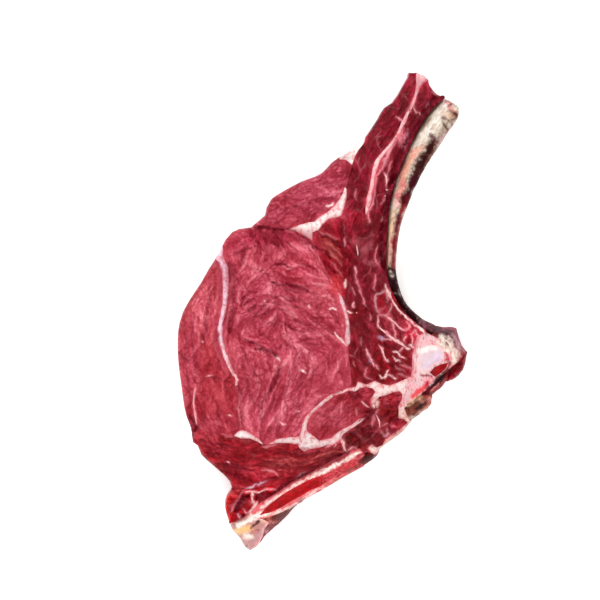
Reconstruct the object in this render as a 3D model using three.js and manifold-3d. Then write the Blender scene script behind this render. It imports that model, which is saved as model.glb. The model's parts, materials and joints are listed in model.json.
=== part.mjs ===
// Raw bone-in rib steak, lying on its cut face.
// Every piece is a column through the steak's whole thickness, cut to its outline, with a
// swelling top. Bones are placed first, then seams of fat, then muscles, and each later
// piece is cut back from the ones before it.
import * as THREE from 'three';
import { mergeVertices } from 'three/addons/utils/BufferGeometryUtils.js';
import Module from 'manifold-3d';

const wasm = await Module();
wasm.setup();

// ---- driving dimensions, mm ----
const SEAM_GAP = 0.3; // clear seam between neighbouring pieces
const OUTLINE_STEP = 5; // longest straight stretch of an outline
const COLUMN_HEIGHT = 60; // taller than the steak, trimmed by each piece's top
const GRID_MARGIN = 2; // the top surface reaches past the outline by this much
const SHARPEST_MITRE = 0.4; // keeps a widened outline's spikes short
const CLEAN_TOLERANCE = 0.01; // shorter edges than this are cleaned away
const RIB_HEIGHT = 30; // upright size of the rib bone
const RIB_LIFT = 3; // its underside is this far off the board
const RIB_SQUARENESS = 2.6; // exponent of its rounded section
const RIB_SIDES = 14; // corners of a section
const RIB_RINGS = 30; // sections along its path
const SMALLEST_SHARE = 0.5; // a cut piece keeps its one body, never less than this share

// ---- outlines seen from above, mm, anticlockwise or clockwise, smoothed by a curve ----
const steakOutline = [
    [56.5, 156], [62, 155.5], [66.5, 154], [69, 151], [70, 147.5], [73, 143.5], [76.5, 140.5],
    [82, 138.5], [85, 135], [88.5, 131.5], [89, 127.5], [88, 123], [82.5, 117.5], [76.5, 109],
    [71, 101], [65, 90.5], [60.5, 80.5], [57, 73], [53.5, 63], [50.5, 54], [49, 43.5], [48, 35],
    [48, 27.5], [49, 19.5], [50.5, 12.5], [54, 6], [59, -0.5], [65, -5], [72, -8.5], [80.5, -10.5],
    [88, -11], [89.5, -17], [91.5, -22], [95, -26.5], [94, -32.5], [92.5, -37.5], [89.5, -41.5],
    [86, -44], [81, -45.5], [77.5, -50], [72, -54], [71.5, -60], [69, -63], [63.5, -67], [58, -71],
    [54, -76.5], [47.5, -82], [41, -86.5], [37.5, -89.5], [36, -94], [32.5, -97], [24.5, -102],
    [15, -107], [5, -113], [-4.5, -118.5], [-11.5, -122], [-17, -127], [-22, -132.5], [-28.5, -139],
    [-36.5, -146], [-43, -153.5], [-47, -156], [-50, -154], [-53.5, -148], [-58.5, -142.5], [-61, -135],
    [-63, -127.5], [-62, -120], [-58.5, -115], [-60, -110.5], [-63, -107], [-71.5, -99.5], [-78.5, -93],
    [-81, -87], [-84, -85], [-85, -76.5], [-88, -69], [-89.5, -63], [-91, -52.5], [-93, -37.5],
    [-94, -24.5], [-93.5, -11.5], [-91, -1.5], [-87, 6.5], [-78.5, 19.5], [-74, 27.5], [-69.5, 34.5],
    [-65.5, 41.5], [-62.5, 47.5], [-58.5, 52], [-54, 54], [-46, 55], [-41.5, 59], [-37, 63], [-36, 68],
    [-33, 73.5], [-22, 80.5], [-14.5, 84.5], [0, 90.5], [7, 98], [12.5, 101.5], [19.5, 106.5],
    [26, 111], [32, 119], [36.5, 126], [40.5, 133], [46, 136.5], [52.5, 147], [56, 153],
];

// rib_bone: from the sawn end at the top, along the concave side, to the backbone
// each row is a point on its middle line and its width there
const ribPath = [
    [85, 136.5, 12], [81.5, 131.5, 17.5], [72, 118.5, 19], [62, 101.5, 17], [54, 84.5, 15],
    [49.5, 71, 13], [46.5, 57, 10], [45, 42.5, 8.5], [44.5, 28.5, 7.5], [46.5, 17.5, 7],
    [51.5, 6, 5.5], [58, -2, 5.5], [65.5, -8, 6.5], [73, -12, 7],
];

// joint_cartilage: smooth facet on the cut backbone
const jointCartilage = [
    [65, -24], [70, -21.5], [75.5, -22], [80, -25.5], [78.5, -30], [74, -33], [69.5, -37], [65, -39.5],
    [62, -36.5], [62.5, -30],
];

// vertebra_marrow: red wedge of marrow beside the facet
const vertebraMarrow = [
    [70, -39.5], [73, -36], [77.5, -34], [82, -33], [80.5, -36.5], [77.5, -39.5], [73.5, -42],
];

// vertebra_body: cut bone of the backbone
const vertebraBody = [
    [59, -27.5], [61, -21], [63.5, -15.5], [67, -13], [74, -17], [80, -18], [85, -21.5], [89, -26],
    [91.5, -29], [88.5, -32], [84.5, -35], [81, -38.5], [76.5, -42], [73, -46], [69, -49.5],
    [63.5, -54], [58.5, -58], [54.5, -60], [52.5, -56], [54.5, -50.5], [54, -45.5], [58, -43],
    [59, -36.5],
];

// vertebra_knob: dried brown process below the body
const vertebraKnob = [
    [58.5, -58], [64.5, -54], [70, -54.5], [76.5, -57], [73.5, -69], [58.5, -73], [55, -66.5],
    [53.5, -62.5],
];

// canal_floor: floor of the canal where the spinal cord lay
const canalFloor = [
    [85, -35], [82, -41.5], [82, -52], [70, -58.5], [63.5, -54.5], [73, -46], [81, -38.5],
];

// canal_lobe: dark lobe of meat outside the canal
const canalLobe = [
    [90.5, -29], [99.5, -26], [100, -40.5], [89.5, -48], [80.5, -49.5], [82.5, -41], [85, -35],
];

// rib_head: where the rib joins the backbone, at the outer corner
const ribHead = [
    [67.5, -13.5], [66.5, -10.5], [72, -2], [93, -5], [97.5, -28.5], [91.5, -30], [89, -26],
    [85, -21.5], [80, -18], [74, -17],
];

// feather_marrow: long core of red marrow
const featherMarrow = [
    [-40.5, -132], [-36, -127], [-30, -122], [-23, -117], [-15.5, -113], [-8, -109], [-0.5, -106.5],
    [6.5, -103.5], [13.5, -99.5], [19.5, -96], [23.5, -96], [23.5, -99], [18, -101.5], [11.5, -105.5],
    [5, -109], [-0.5, -113], [-7, -115.5], [-13.5, -119.5], [-20, -123], [-27.5, -127.5], [-34, -130.5],
];

// feather_bone: rim of hard bone around the marrow
const featherBone = [
    [-46, -130], [-41.5, -125.5], [-34.5, -121], [-27.5, -116.5], [-19.5, -111], [-11.5, -107],
    [-3, -102.5], [6, -97.5], [13.5, -93.5], [19.5, -90.5], [24.5, -89], [27.5, -93], [25.5, -96],
    [27.5, -104], [15, -111], [5, -115], [-3, -117.5], [-11, -122], [-18, -126], [-25.5, -129.5],
    [-32.5, -132.5], [-39, -134.5], [-45, -134],
];

// feather_side: dried face below the bone, sloping to the board
const featherSide = [
    [-39, -134.5], [-32.5, -132.5], [-25.5, -129.5], [-18, -126], [-11, -122], [-7, -123.5],
    [-21, -138], [-35, -152], [-41, -151.5], [-38.5, -146], [-37.5, -141.5], [-34.5, -137],
];

// feather_cartilage: cap of gristle at the far tip
const featherCartilage = [
    [-63.5, -139], [-56, -136.5], [-50.5, -134], [-46, -130], [-45, -134], [-39, -134.5], [-34.5, -137],
    [-37.5, -141.5], [-38.5, -146], [-41, -158.5], [-53.5, -161], [-66.5, -145.5],
];

// feather_root: brown stub between the feather bone and the backbone
const featherRoot = [
    [24.5, -95], [29, -91], [34, -93], [39.5, -89.5], [41, -99.5], [26, -104.5],
];

// fat_spine: strip of fat along the outside of the spine meat
const fatSpine = [
    [50, -64.5], [53.5, -62.5], [57, -67.5], [62.5, -73], [52, -84.5], [41.5, -93], [36, -93.5],
    [32, -91.5], [30, -89], [32, -87], [36, -88.5], [39.5, -86.5], [41.5, -83], [46, -79.5],
    [50.5, -76.5], [56, -72], [53.5, -69.5], [50, -69],
];

// fat_chine: band of fat from the eye muscle to the backbone
const fatChine = [
    [14.5, -51.5], [18, -49.5], [22, -49], [23.5, -45.5], [29, -47.5], [34.5, -45], [38.5, -47],
    [44, -48], [49.5, -46], [54, -44], [58.5, -42], [58.5, -50.5], [56, -57], [54, -63.5], [50, -65],
    [50, -61], [52, -57], [52.5, -53.5], [50.5, -51.5], [46, -52], [41.5, -54], [37, -55],
    [34.5, -58.5], [34, -62.5], [32, -59], [33, -55], [35, -52], [33, -49.5], [28.5, -48.5],
    [24.5, -49.5], [21.5, -51.5], [18, -51],
];

// fat_lower: triangle of fat with a long left arm and an arm under the corner muscle
const fatLower = [
    [-34.5, -86], [-30, -83], [-24, -82], [-18, -81.5], [-14.5, -81], [-13, -76.5], [-12.5, -73],
    [-10.5, -68], [-7, -64.5], [-2.5, -60.5], [2.5, -56], [6.5, -53.5], [7, -55], [2.5, -58.5],
    [-2, -62.5], [-6, -65.5], [-8.5, -69.5], [-10, -73.5], [-10, -77.5], [-6, -80.5], [-2, -84],
    [2.5, -83], [6, -82], [10.5, -78.5], [15, -75.5], [19.5, -73.5], [23.5, -70], [27.5, -69],
    [25.5, -71.5], [19.5, -75.5], [15.5, -78], [13, -80], [11.5, -83], [7, -86], [3, -86.5], [-2, -88],
    [-8, -89], [-11.5, -90.5], [-14.5, -88.5], [-15.5, -86], [-22, -85], [-28.5, -85],
];

// fat_lower_left: short sliver of fat at the foot of the cap
const fatLowerLeft = [
    [-57, -80.5], [-54.5, -78], [-52, -77], [-49, -78], [-45, -80], [-41.5, -82.5], [-38.5, -86],
    [-42, -84], [-47, -82], [-52.5, -82],
];

// fat_left: seam of fat between the cap and the eye
const fatLeft = [
    [-65, 44], [-64.5, 36.5], [-63, 32], [-61, 28.5], [-61, 23.5], [-61, 13], [-62, 5], [-63, -2],
    [-64.5, -7], [-65, -13.5], [-63.5, -21.5], [-60.5, -32], [-58, -37.5], [-59, -39], [-63, -32],
    [-66, -23.5], [-68, -16], [-68, -11], [-67, -6], [-65.5, 0], [-64.5, 8], [-64.5, 17], [-65, 25.5],
    [-67, 32], [-71, 36], [-70, 40.5],
];

// fat_upper: seam of fat between the upper muscle and the eye
const fatUpper = [
    [-21.5, 53.5], [-18, 55], [-14.5, 56.5], [-9, 58], [-5, 58.5], [-1.5, 62], [4, 65], [8, 69],
    [11.5, 73], [13.5, 76.5], [15, 81], [16, 79.5], [15.5, 73], [14, 67.5], [12.5, 63], [9, 61.5],
    [4, 60.5], [0, 57], [-2.5, 53.5], [-6.5, 52], [-6.5, 47], [-10.5, 49.5], [-15.5, 52],
];

// fat_corner: wedge of fat on the outer edge, above the upper muscle
const fatCorner = [
    [11.5, 99.5], [8, 105.5], [18, 112], [28.5, 115.5], [27.5, 110.5], [23.5, 105.5], [21, 101],
    [19.5, 96], [16, 99],
];

// fat_rib: long seam of fat between the two rib muscles
const fatRib = [
    [62, 157.5], [67, 156.5], [69.5, 151.5], [65.5, 149], [63.5, 145.5], [61.5, 141], [60.5, 137],
    [58.5, 133], [56, 128.5], [54.5, 124], [52, 119.5], [49.5, 114], [46, 109], [42, 104.5],
    [38.5, 100], [36.5, 95.5], [35, 90.5], [34, 84.5], [33, 78], [32, 73], [30.5, 67.5], [28.5, 63.5],
    [28.5, 67.5], [29, 73.5], [31, 80.5], [32, 87], [33, 93], [34.5, 98], [37.5, 102], [41.5, 106.5],
    [45.5, 111], [49.5, 117.5], [52, 123.5], [55, 129.5], [58, 134.5], [60, 140], [61, 144.5],
    [61.5, 149.5],
];

// fat_eye: thin seam of fat on the right of the eye
const fatEye = [
    [10.5, 13], [12.5, 10.5], [15.5, 2.5], [17, -4], [18, -11.5], [18, -20], [16, -22.5], [15, -19],
    [15.5, -11.5], [15, -4], [13.5, 2], [11.5, 7],
];

// eye_muscle: the large round loin muscle
const eyeMuscle = [
    [-65, 60], [-45.5, 58.5], [-41.5, 54.5], [-34, 54], [-26, 54], [-21, 53.5], [-15, 51.5], [-10, 48],
    [-6, 43.5], [-2.5, 36.5], [2, 28.5], [6.5, 21], [10, 14.5], [13.5, 6.5], [16, -2.5], [17, -11.5],
    [17, -24.5], [18, -34.5], [19, -43], [18, -50.5], [10.5, -52.5], [2, -58], [-8, -65.5], [-13, -74],
    [-11.5, -86], [-24, -84.5], [-36.5, -86], [-47, -80.5], [-54.5, -79.5], [-54, -70], [-55, -62.5],
    [-54.5, -53.5], [-55, -47], [-58, -40.5], [-61, -34], [-64.5, -26], [-66.5, -18], [-66.5, -9],
    [-63.5, 2.5], [-63, 14.5], [-63, 26], [-65.5, 35], [-73, 40.5],
];

// corner_muscle: oval muscle at the eye's lower right
const cornerMuscle = [
    [18, -49], [23.5, -54.5], [26.5, -58.5], [30, -62.5], [30.5, -66.5], [27.5, -70], [19.5, -75],
    [10.5, -80.5], [0, -86], [-8, -83], [-13, -76.5], [-10.5, -67.5], [-4, -60.5], [8, -52.5],
];

// small_muscle: small lobe between the corner muscle and the band of fat
const smallMuscle = [
    [20, -50.5], [24.5, -48], [31, -47], [36.5, -52], [33, -56.5], [34, -63.5], [30, -62.5], [26, -58],
    [23, -54],
];

// fold_muscle: folded muscle between the eye and the rib meat
const foldMuscle = [
    [-0.5, 60.5], [5, 63.5], [10.5, 60], [13.5, 50.5], [15.5, 43], [17, 35], [17, 27.5], [17, 19.5],
    [15.5, 13], [15, 8], [11, 12.5], [5, 22], [-1.5, 34.5], [-9, 47], [-6.5, 56],
];

// upper_muscle: flat muscle above the eye
const upperMuscle = [
    [-49.5, 52], [-47, 63], [-43, 80.5], [-1.5, 99], [9, 106.5], [19.5, 101.5], [19.5, 95], [17.5, 87],
    [15.5, 79.5], [14.5, 69], [5, 58.5], [-14.5, 49.5], [-35, 52],
];

// rib_muscle_outer: rib meat on the outer side
const ribMuscleOuter = [
    [50.5, 164], [62.5, 162.5], [62, 149.5], [60, 140], [56, 131.5], [50.5, 120], [43, 107], [35, 99],
    [32.5, 88.5], [30.5, 79.5], [28.5, 67.5], [26.5, 58.5], [26, 49.5], [24, 39], [23, 30], [23, 19.5],
    [22, 10.5], [20, 2], [15, 0], [5, 14.5], [0, 63], [9, 73], [11.5, 95.5], [18, 112], [31, 131.5],
];

// rib_muscle_inner: rib meat along the bone
const ribMuscleInner = [
    [58.5, 160], [71.5, 152], [80, 141], [76.5, 130], [63.5, 112], [56, 92.5], [49.5, 73], [47, 47],
    [45.5, 28.5], [44, 18], [42, 12.5], [36.5, 10.5], [34.5, 5], [32, -0.5], [26, 4], [18, 6.5],
    [22, 40.5], [26, 69.5], [31, 99], [47.5, 121.5], [57, 138],
];

// chine_muscle: marbled muscle inside the curve of the rib
const chineMuscle = [
    [13.5, 0], [19.5, 10.5], [36.5, 14.5], [45.5, 14.5], [48, 6], [52, 0.5], [58, -5], [67, -13],
    [65, -24.5], [63.5, -47], [49.5, -50.5], [34.5, -49.5], [15, -53.5], [14.5, -18],
];

// spine_muscle: coarse dark meat under the backbone
const spineMuscle = [
    [11.5, -84], [11, -80.5], [18, -73], [28.5, -63.5], [32.5, -54.5], [44, -48], [54.5, -53.5],
    [57, -70], [52, -80.5], [37.5, -93.5], [23.5, -97.5], [15.5, -93.5],
];

// tip_muscle: dark pocketed meat at the lower tip
const tipMuscle = [
    [-66.5, -114.5], [-58.5, -115], [-52, -115], [-45.5, -115.5], [-38.5, -114.5], [-32.5, -113],
    [-28.5, -116.5], [-34, -122], [-43, -130], [-53.5, -139], [-67.5, -141.5],
];

// cap_muscle: muscle along the left side
const capMuscle = [
    [-99, 40.5], [-71.5, 47], [-60, 32.5], [-60, -11.5], [-56, -31], [-50, -50.5], [-50.5, -76.5],
    [-56, -81], [-63.5, -80.5], [-71.5, -78.5], [-79.5, -76.5], [-88.5, -76.5], [-99, -70],
];

// base_muscle: flat muscle above the feather bone
const baseMuscle = [
    [-92.5, -73.5], [-79.5, -75], [-56, -75.5], [-14.5, -80.5], [14.5, -76.5], [19.5, -93],
    [-14.5, -114.5], [-32.5, -122], [-66.5, -117], [-95.5, -96],
];

// ---- materials: colour, roughness, metalness ----
function material(color, roughness) {
  return new THREE.MeshStandardMaterial({ color, roughness, metalness: 0 });
}
const meat = material('#c4566a', 0.4);
const darkMeat = material('#8f2c3a', 0.4);
const fat = material('#f6dcd6', 0.45);
const bone = material('#dcc6b2', 0.6);
const driedBone = material('#7a4436', 0.6);
const marrow = material('#b9182f', 0.35);
const cartilage = material('#ecd9dc', 0.35);

// ---- pieces, in the order in which they take their place ----
// top: height of the piece at its outline; dome: extra height inside; reach: how far in the
// dome has risen; cell: grid spacing of the top
const pieces = [
  { name: 'rib_bone', path: ribPath, material: bone },
  {
    name: 'joint_cartilage', outline: jointCartilage, material: cartilage,
    top: 34.8, dome: 1.2, reach: 5, cell: 4,
  },
  {
    name: 'vertebra_marrow', outline: vertebraMarrow, material: marrow,
    top: 34.4, dome: 0.3, reach: 3, cell: 4,
  },
  {
    name: 'vertebra_body', outline: vertebraBody, material: bone,
    top: 33.5, dome: 1.5, reach: 6, cell: 5,
  },
  {
    name: 'vertebra_knob', outline: vertebraKnob, material: driedBone,
    top: 27, dome: 6, reach: 8, cell: 4,
  },
  {
    name: 'canal_floor', outline: canalFloor, material: driedBone,
    top: 22, dome: 6, reach: 5, cell: 4,
  },
  {
    name: 'canal_lobe', outline: canalLobe, material: darkMeat,
    top: 26, dome: 6, reach: 6, cell: 4,
  },
  {
    name: 'rib_head', outline: ribHead, material: bone,
    top: 24, dome: 10, reach: 9, cell: 4,
  },
  {
    name: 'feather_marrow', outline: featherMarrow, material: marrow,
    top: 34.2, dome: 0.4, reach: 4, cell: 6,
  },
  {
    name: 'feather_bone', outline: featherBone, material: bone,
    top: 34.6, dome: 0.6, reach: 3, cell: 6,
  },
  {
    name: 'feather_side', outline: featherSide, material: driedBone,
    top: 18, dome: 14, reach: 10, cell: 4,
  },
  {
    name: 'feather_cartilage', outline: featherCartilage, material: cartilage,
    top: 28, dome: 6.5, reach: 10, cell: 4,
  },
  {
    name: 'feather_root', outline: featherRoot, material: driedBone,
    top: 26, dome: 6, reach: 6, cell: 4,
  },
  {
    name: 'fat_spine', outline: fatSpine, material: fat,
    top: 33, dome: 2, reach: 4, cell: 6,
  },
  {
    name: 'fat_chine', outline: fatChine, material: fat,
    top: 34.6, dome: 0.8, reach: 2, cell: 6,
  },
  {
    name: 'fat_lower', outline: fatLower, material: fat,
    top: 34.4, dome: 0.8, reach: 2, cell: 6,
  },
  {
    name: 'fat_lower_left', outline: fatLowerLeft, material: fat,
    top: 34.2, dome: 0.8, reach: 2, cell: 6,
  },
  {
    name: 'fat_left', outline: fatLeft, material: fat,
    top: 34.2, dome: 0.8, reach: 2, cell: 6,
  },
  {
    name: 'fat_upper', outline: fatUpper, material: fat,
    top: 34.4, dome: 0.8, reach: 2, cell: 6,
  },
  {
    name: 'fat_corner', outline: fatCorner, material: fat,
    top: 33, dome: 2, reach: 5, cell: 5,
  },
  {
    name: 'fat_rib', outline: fatRib, material: fat,
    top: 34.2, dome: 0.8, reach: 2, cell: 6,
  },
  {
    name: 'fat_eye', outline: fatEye, material: fat,
    top: 34.2, dome: 0.6, reach: 1, cell: 6,
  },
  {
    name: 'eye_muscle', outline: eyeMuscle, material: meat,
    top: 33.6, dome: 3.2, reach: 26, cell: 8,
  },
  {
    name: 'corner_muscle', outline: cornerMuscle, material: meat,
    top: 34, dome: 2, reach: 12, cell: 7,
  },
  {
    name: 'small_muscle', outline: smallMuscle, material: meat,
    top: 34, dome: 1.4, reach: 5, cell: 5,
  },
  {
    name: 'fold_muscle', outline: foldMuscle, material: darkMeat,
    top: 33.6, dome: 1.8, reach: 7, cell: 6,
  },
  {
    name: 'upper_muscle', outline: upperMuscle, material: meat,
    top: 33, dome: 2.8, reach: 16, cell: 7,
  },
  {
    name: 'rib_muscle_outer', outline: ribMuscleOuter, material: darkMeat,
    top: 33.4, dome: 2, reach: 9, cell: 7,
  },
  {
    name: 'rib_muscle_inner', outline: ribMuscleInner, material: darkMeat,
    top: 33.4, dome: 2, reach: 8, cell: 7,
  },
  {
    name: 'chine_muscle', outline: chineMuscle, material: darkMeat,
    top: 33.8, dome: 1.8, reach: 14, cell: 7,
  },
  {
    name: 'spine_muscle', outline: spineMuscle, material: darkMeat,
    top: 32.5, dome: 2.2, reach: 8, cell: 6,
  },
  {
    name: 'tip_muscle', outline: tipMuscle, material: darkMeat,
    top: 30, dome: 4, reach: 9, cell: 6,
  },
  {
    name: 'cap_muscle', outline: capMuscle, material: meat,
    top: 32.6, dome: 2.8, reach: 15, cell: 8,
  },
  {
    name: 'base_muscle', outline: baseMuscle, material: darkMeat,
    top: 32.5, dome: 2.4, reach: 12, cell: 7,
  },
];

// ---- shape helpers ----

// closed smooth loop through the outline's points
function smoothLoop(outline) {
  const corners = outline.map(([x, y]) => new THREE.Vector3(x, y, 0));
  const curve = new THREE.CatmullRomCurve3(corners, true, 'centripetal');
  const loop = [];
  corners.forEach((corner, i) => {
    const next = corners[(i + 1) % corners.length];
    const parts = Math.max(1, Math.round(corner.distanceTo(next) / OUTLINE_STEP));
    for (let k = 0; k < parts; k++) {
      const point = curve.getPoint((i + k / parts) / corners.length);
      loop.push(new THREE.Vector2(point.x, point.y));
    }
  });
  return THREE.ShapeUtils.isClockWise(loop) ? loop.reverse() : loop;
}

// the same loop with every side moved outwards by a distance
function widened(loop, distance) {
  return loop.map((point, i) => {
    const before = loop[(i + loop.length - 1) % loop.length];
    const after = loop[(i + 1) % loop.length];
    const arriving = point.clone().sub(before).normalize();
    const leaving = after.clone().sub(point).normalize();
    const along = arriving.clone().add(leaving).normalize();
    const mitre = distance / Math.max(SHARPEST_MITRE, along.dot(arriving));
    return new THREE.Vector2(point.x + along.y * mitre, point.y - along.x * mitre);
  });
}

// distance from a point to the nearest side of a loop
function distanceToLoop(x, y, loop) {
  let nearest = Infinity;
  loop.forEach((start, i) => {
    const end = loop[(i + 1) % loop.length];
    const dx = end.x - start.x;
    const dy = end.y - start.y;
    const along = ((x - start.x) * dx + (y - start.y) * dy) / (dx * dx + dy * dy);
    const t = THREE.MathUtils.clamp(along, 0, 1);
    nearest = Math.min(nearest, Math.hypot(x - start.x - t * dx, y - start.y - t * dy));
  });
  return nearest;
}

// crossing count: is the point inside the loop
function isInside(x, y, loop) {
  let inside = false;
  loop.forEach((a, i) => {
    const b = loop[(i + 1) % loop.length];
    const straddles = a.y > y !== b.y > y;
    if (straddles && x < ((b.x - a.x) * (y - a.y)) / (b.y - a.y) + a.x) inside = !inside;
  });
  return inside;
}

// rise from 0 at the outline to 1, level, at the reach
function swelling(distance, reach) {
  const t = Math.min(1, distance / reach);
  return t * (2 - t);
}

function toSolid(geometry) {
  geometry.deleteAttribute('normal');
  geometry.deleteAttribute('uv');
  const merged = mergeVertices(geometry);
  const mesh = new wasm.Mesh({
    numProp: 3,
    vertProperties: new Float32Array(merged.attributes.position.array),
    triVerts: new Uint32Array(merged.index.array),
  });
  return new wasm.Manifold(mesh);
}

function toGeometry(solid) {
  const mesh = solid.getMesh();
  const geometry = new THREE.BufferGeometry();
  geometry.setAttribute('position', new THREE.BufferAttribute(mesh.vertProperties, 3));
  geometry.setIndex(new THREE.BufferAttribute(mesh.triVerts, 1));
  geometry.computeVertexNormals();
  return geometry;
}

// straight column on an outline, standing on the board
function column(loop) {
  const shape = new THREE.Shape(loop);
  return toSolid(new THREE.ExtrudeGeometry(shape, { depth: COLUMN_HEIGHT, bevelEnabled: false }));
}

// gridded block whose top swells inside the outline
function swollenBlock(piece, loop, steakLoop) {
  const { top, dome, reach, cell } = piece;
  const box = new THREE.Box2().setFromPoints(loop).expandByScalar(GRID_MARGIN);
  const size = box.getSize(new THREE.Vector2());
  const centre = box.getCenter(new THREE.Vector2());
  const columns = Math.ceil(size.x / cell);
  const rows = Math.ceil(size.y / cell);
  const geometry = new THREE.BoxGeometry(size.x, size.y, 1, columns, rows, 1);
  const position = geometry.attributes.position;
  for (let i = 0; i < position.count; i++) {
    const x = position.getX(i) + centre.x;
    const y = position.getY(i) + centre.y;
    const covered = isInside(x, y, loop) && isInside(x, y, steakLoop);
    const depth = covered ? Math.min(distanceToLoop(x, y, loop), distanceToLoop(x, y, steakLoop)) : 0;
    const rise = swelling(depth, reach);
    const z = position.getZ(i) > 0 ? top + dome * rise : 0;
    position.setXYZ(i, x, y, z);
  }
  return toSolid(geometry);
}

// places along the rib, from end to end: the middle, the way to its right side and its width
function ribSections(path) {
  // a path's third number is its width, so the curve smooths that as well
  const curve = new THREE.CatmullRomCurve3(path.map((row) => new THREE.Vector3(...row)));
  return Array.from({ length: RIB_RINGS + 1 }, (_, i) => {
    const t = i / RIB_RINGS;
    const middle = curve.getPoint(t);
    const along = curve.getTangent(t).setZ(0).normalize();
    return { middle, right: new THREE.Vector2(along.y, -along.x), width: middle.z };
  });
}

function ribLoop(path) {
  const sections = ribSections(path);
  const side = (sign) => sections.map(({ middle, right, width }) =>
    new THREE.Vector2(middle.x, middle.y).addScaledVector(right, (sign * width) / 2));
  const loop = [...side(1), ...side(-1).reverse()];
  return THREE.ShapeUtils.isClockWise(loop) ? loop.reverse() : loop;
}

// rounded upright sections joined into a closed bone
function ribSolid(path) {
  const sections = ribSections(path);
  const halfHeight = RIB_HEIGHT / 2;
  const midHeight = RIB_LIFT + halfHeight;
  const rounded = (value) => Math.sign(value) * Math.abs(value) ** (2 / RIB_SQUARENESS);
  const vertices = [];
  sections.forEach(({ middle, right, width }) => {
    for (let k = 0; k < RIB_SIDES; k++) {
      const angle = (2 * Math.PI * k) / RIB_SIDES;
      const across = (rounded(Math.cos(angle)) * width) / 2;
      const up = rounded(Math.sin(angle)) * halfHeight;
      vertices.push(middle.x + right.x * across, middle.y + right.y * across, midHeight + up);
    }
  });
  const first = vertices.length / 3;
  [sections[0], sections[RIB_RINGS]].forEach(({ middle }) => {
    vertices.push(middle.x, middle.y, midHeight);
  });
  const triangles = [];
  for (let k = 0; k < RIB_SIDES; k++) {
    const next = (k + 1) % RIB_SIDES;
    const end = RIB_RINGS * RIB_SIDES;
    triangles.push(first, k, next, first + 1, end + next, end + k);
    for (let j = 0; j < RIB_RINGS; j++) {
      const here = j * RIB_SIDES;
      const there = here + RIB_SIDES;
      triangles.push(here + k, there + k, there + next, here + k, there + next, here + next);
    }
  }
  const geometry = new THREE.BufferGeometry();
  geometry.setAttribute('position', new THREE.Float32BufferAttribute(vertices, 3));
  geometry.setIndex(triangles);
  return toSolid(geometry);
}

function largestBody(solid) {
  const bodies = solid.decompose().sort((a, b) => b.volume() - a.volume());
  if (bodies[0].volume() < SMALLEST_SHARE * solid.volume()) {
    throw new Error('a piece is cut into several bodies');
  }
  return bodies[0];
}

const steakLoop = smoothLoop(steakOutline);
const steakColumn = column(steakLoop);

// a piece's column, trimmed to the steak, to the pieces already placed and to its own top
function cutPiece(piece, loop, placed) {
  const whole = column(loop).intersect(steakColumn);
  const free = wasm.Manifold.difference([whole, ...placed]);
  const domed = free.intersect(swollenBlock(piece, loop, steakLoop));
  return largestBody(domed).simplify(CLEAN_TOLERANCE);
}

// ---- assembly ----
const steak = new THREE.Group();
const placed = [];

for (const piece of pieces) {
  const loop = piece.path ? ribLoop(piece.path) : smoothLoop(piece.outline);
  const solid = piece.path ? ribSolid(piece.path) : cutPiece(piece, loop, placed);
  placed.push(column(widened(loop, SEAM_GAP)));

  const mesh = new THREE.Mesh(toGeometry(solid), piece.material);
  mesh.name = piece.name;
  steak.add(mesh);
}

// the origin is under the middle of the steak, on the board
const bounds = new THREE.Box3().setFromObject(steak);
const middle = bounds.getCenter(new THREE.Vector3());
steak.position.set(-middle.x, -middle.y, -bounds.min.z);

export default steak;
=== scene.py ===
# Look of a raw bone-in rib steak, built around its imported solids.
# Plans, depths and widths are in millimetres until a mesh is made, and metres from there on.
import json
import math
from collections import namedtuple
from functools import partial

import bmesh
import bpy
import numpy as np
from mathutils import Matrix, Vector
from mathutils.geometry import delaunay_2d_cdt
from mathutils.kdtree import KDTree

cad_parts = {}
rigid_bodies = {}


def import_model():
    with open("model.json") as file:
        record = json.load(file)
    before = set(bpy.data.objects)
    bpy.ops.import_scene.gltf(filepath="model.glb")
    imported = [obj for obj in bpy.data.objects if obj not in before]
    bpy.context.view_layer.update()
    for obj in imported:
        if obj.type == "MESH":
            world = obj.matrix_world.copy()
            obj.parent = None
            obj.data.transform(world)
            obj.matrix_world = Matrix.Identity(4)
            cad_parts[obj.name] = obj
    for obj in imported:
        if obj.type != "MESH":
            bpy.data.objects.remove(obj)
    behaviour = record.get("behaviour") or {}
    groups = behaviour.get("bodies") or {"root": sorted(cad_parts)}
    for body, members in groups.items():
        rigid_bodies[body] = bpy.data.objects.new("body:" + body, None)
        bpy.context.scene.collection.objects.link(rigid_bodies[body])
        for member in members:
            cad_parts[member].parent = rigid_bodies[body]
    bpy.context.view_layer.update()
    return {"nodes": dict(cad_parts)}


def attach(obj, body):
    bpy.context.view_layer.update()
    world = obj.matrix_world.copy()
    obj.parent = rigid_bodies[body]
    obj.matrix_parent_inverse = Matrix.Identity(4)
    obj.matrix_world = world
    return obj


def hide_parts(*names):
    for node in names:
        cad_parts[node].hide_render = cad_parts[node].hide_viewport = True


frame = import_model()

bl_info = {
    "name": "Raw rib steak",
    "version": (1, 0, 0),
    "blender": (4, 5, 0),
    "location": "View3D > Sidebar > Rib steak",
    "description": "Builds the meat, fat, bone and marrow of a raw bone-in rib steak",
    "category": "Add Mesh",
}

MM = 0.001
BODY = "root"

# ---- the pieces ----
# finish: which tissue it is; colour: its plain colour; top: height at its outline;
# dome, reach: how much higher it stands inside, and how far in; rim: rounding of the
# steak's outer edge; flow: name of the lines that its fibres follow
Piece = namedtuple("Piece", "finish colour top dome reach rim flow", defaults=["upright"])

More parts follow.
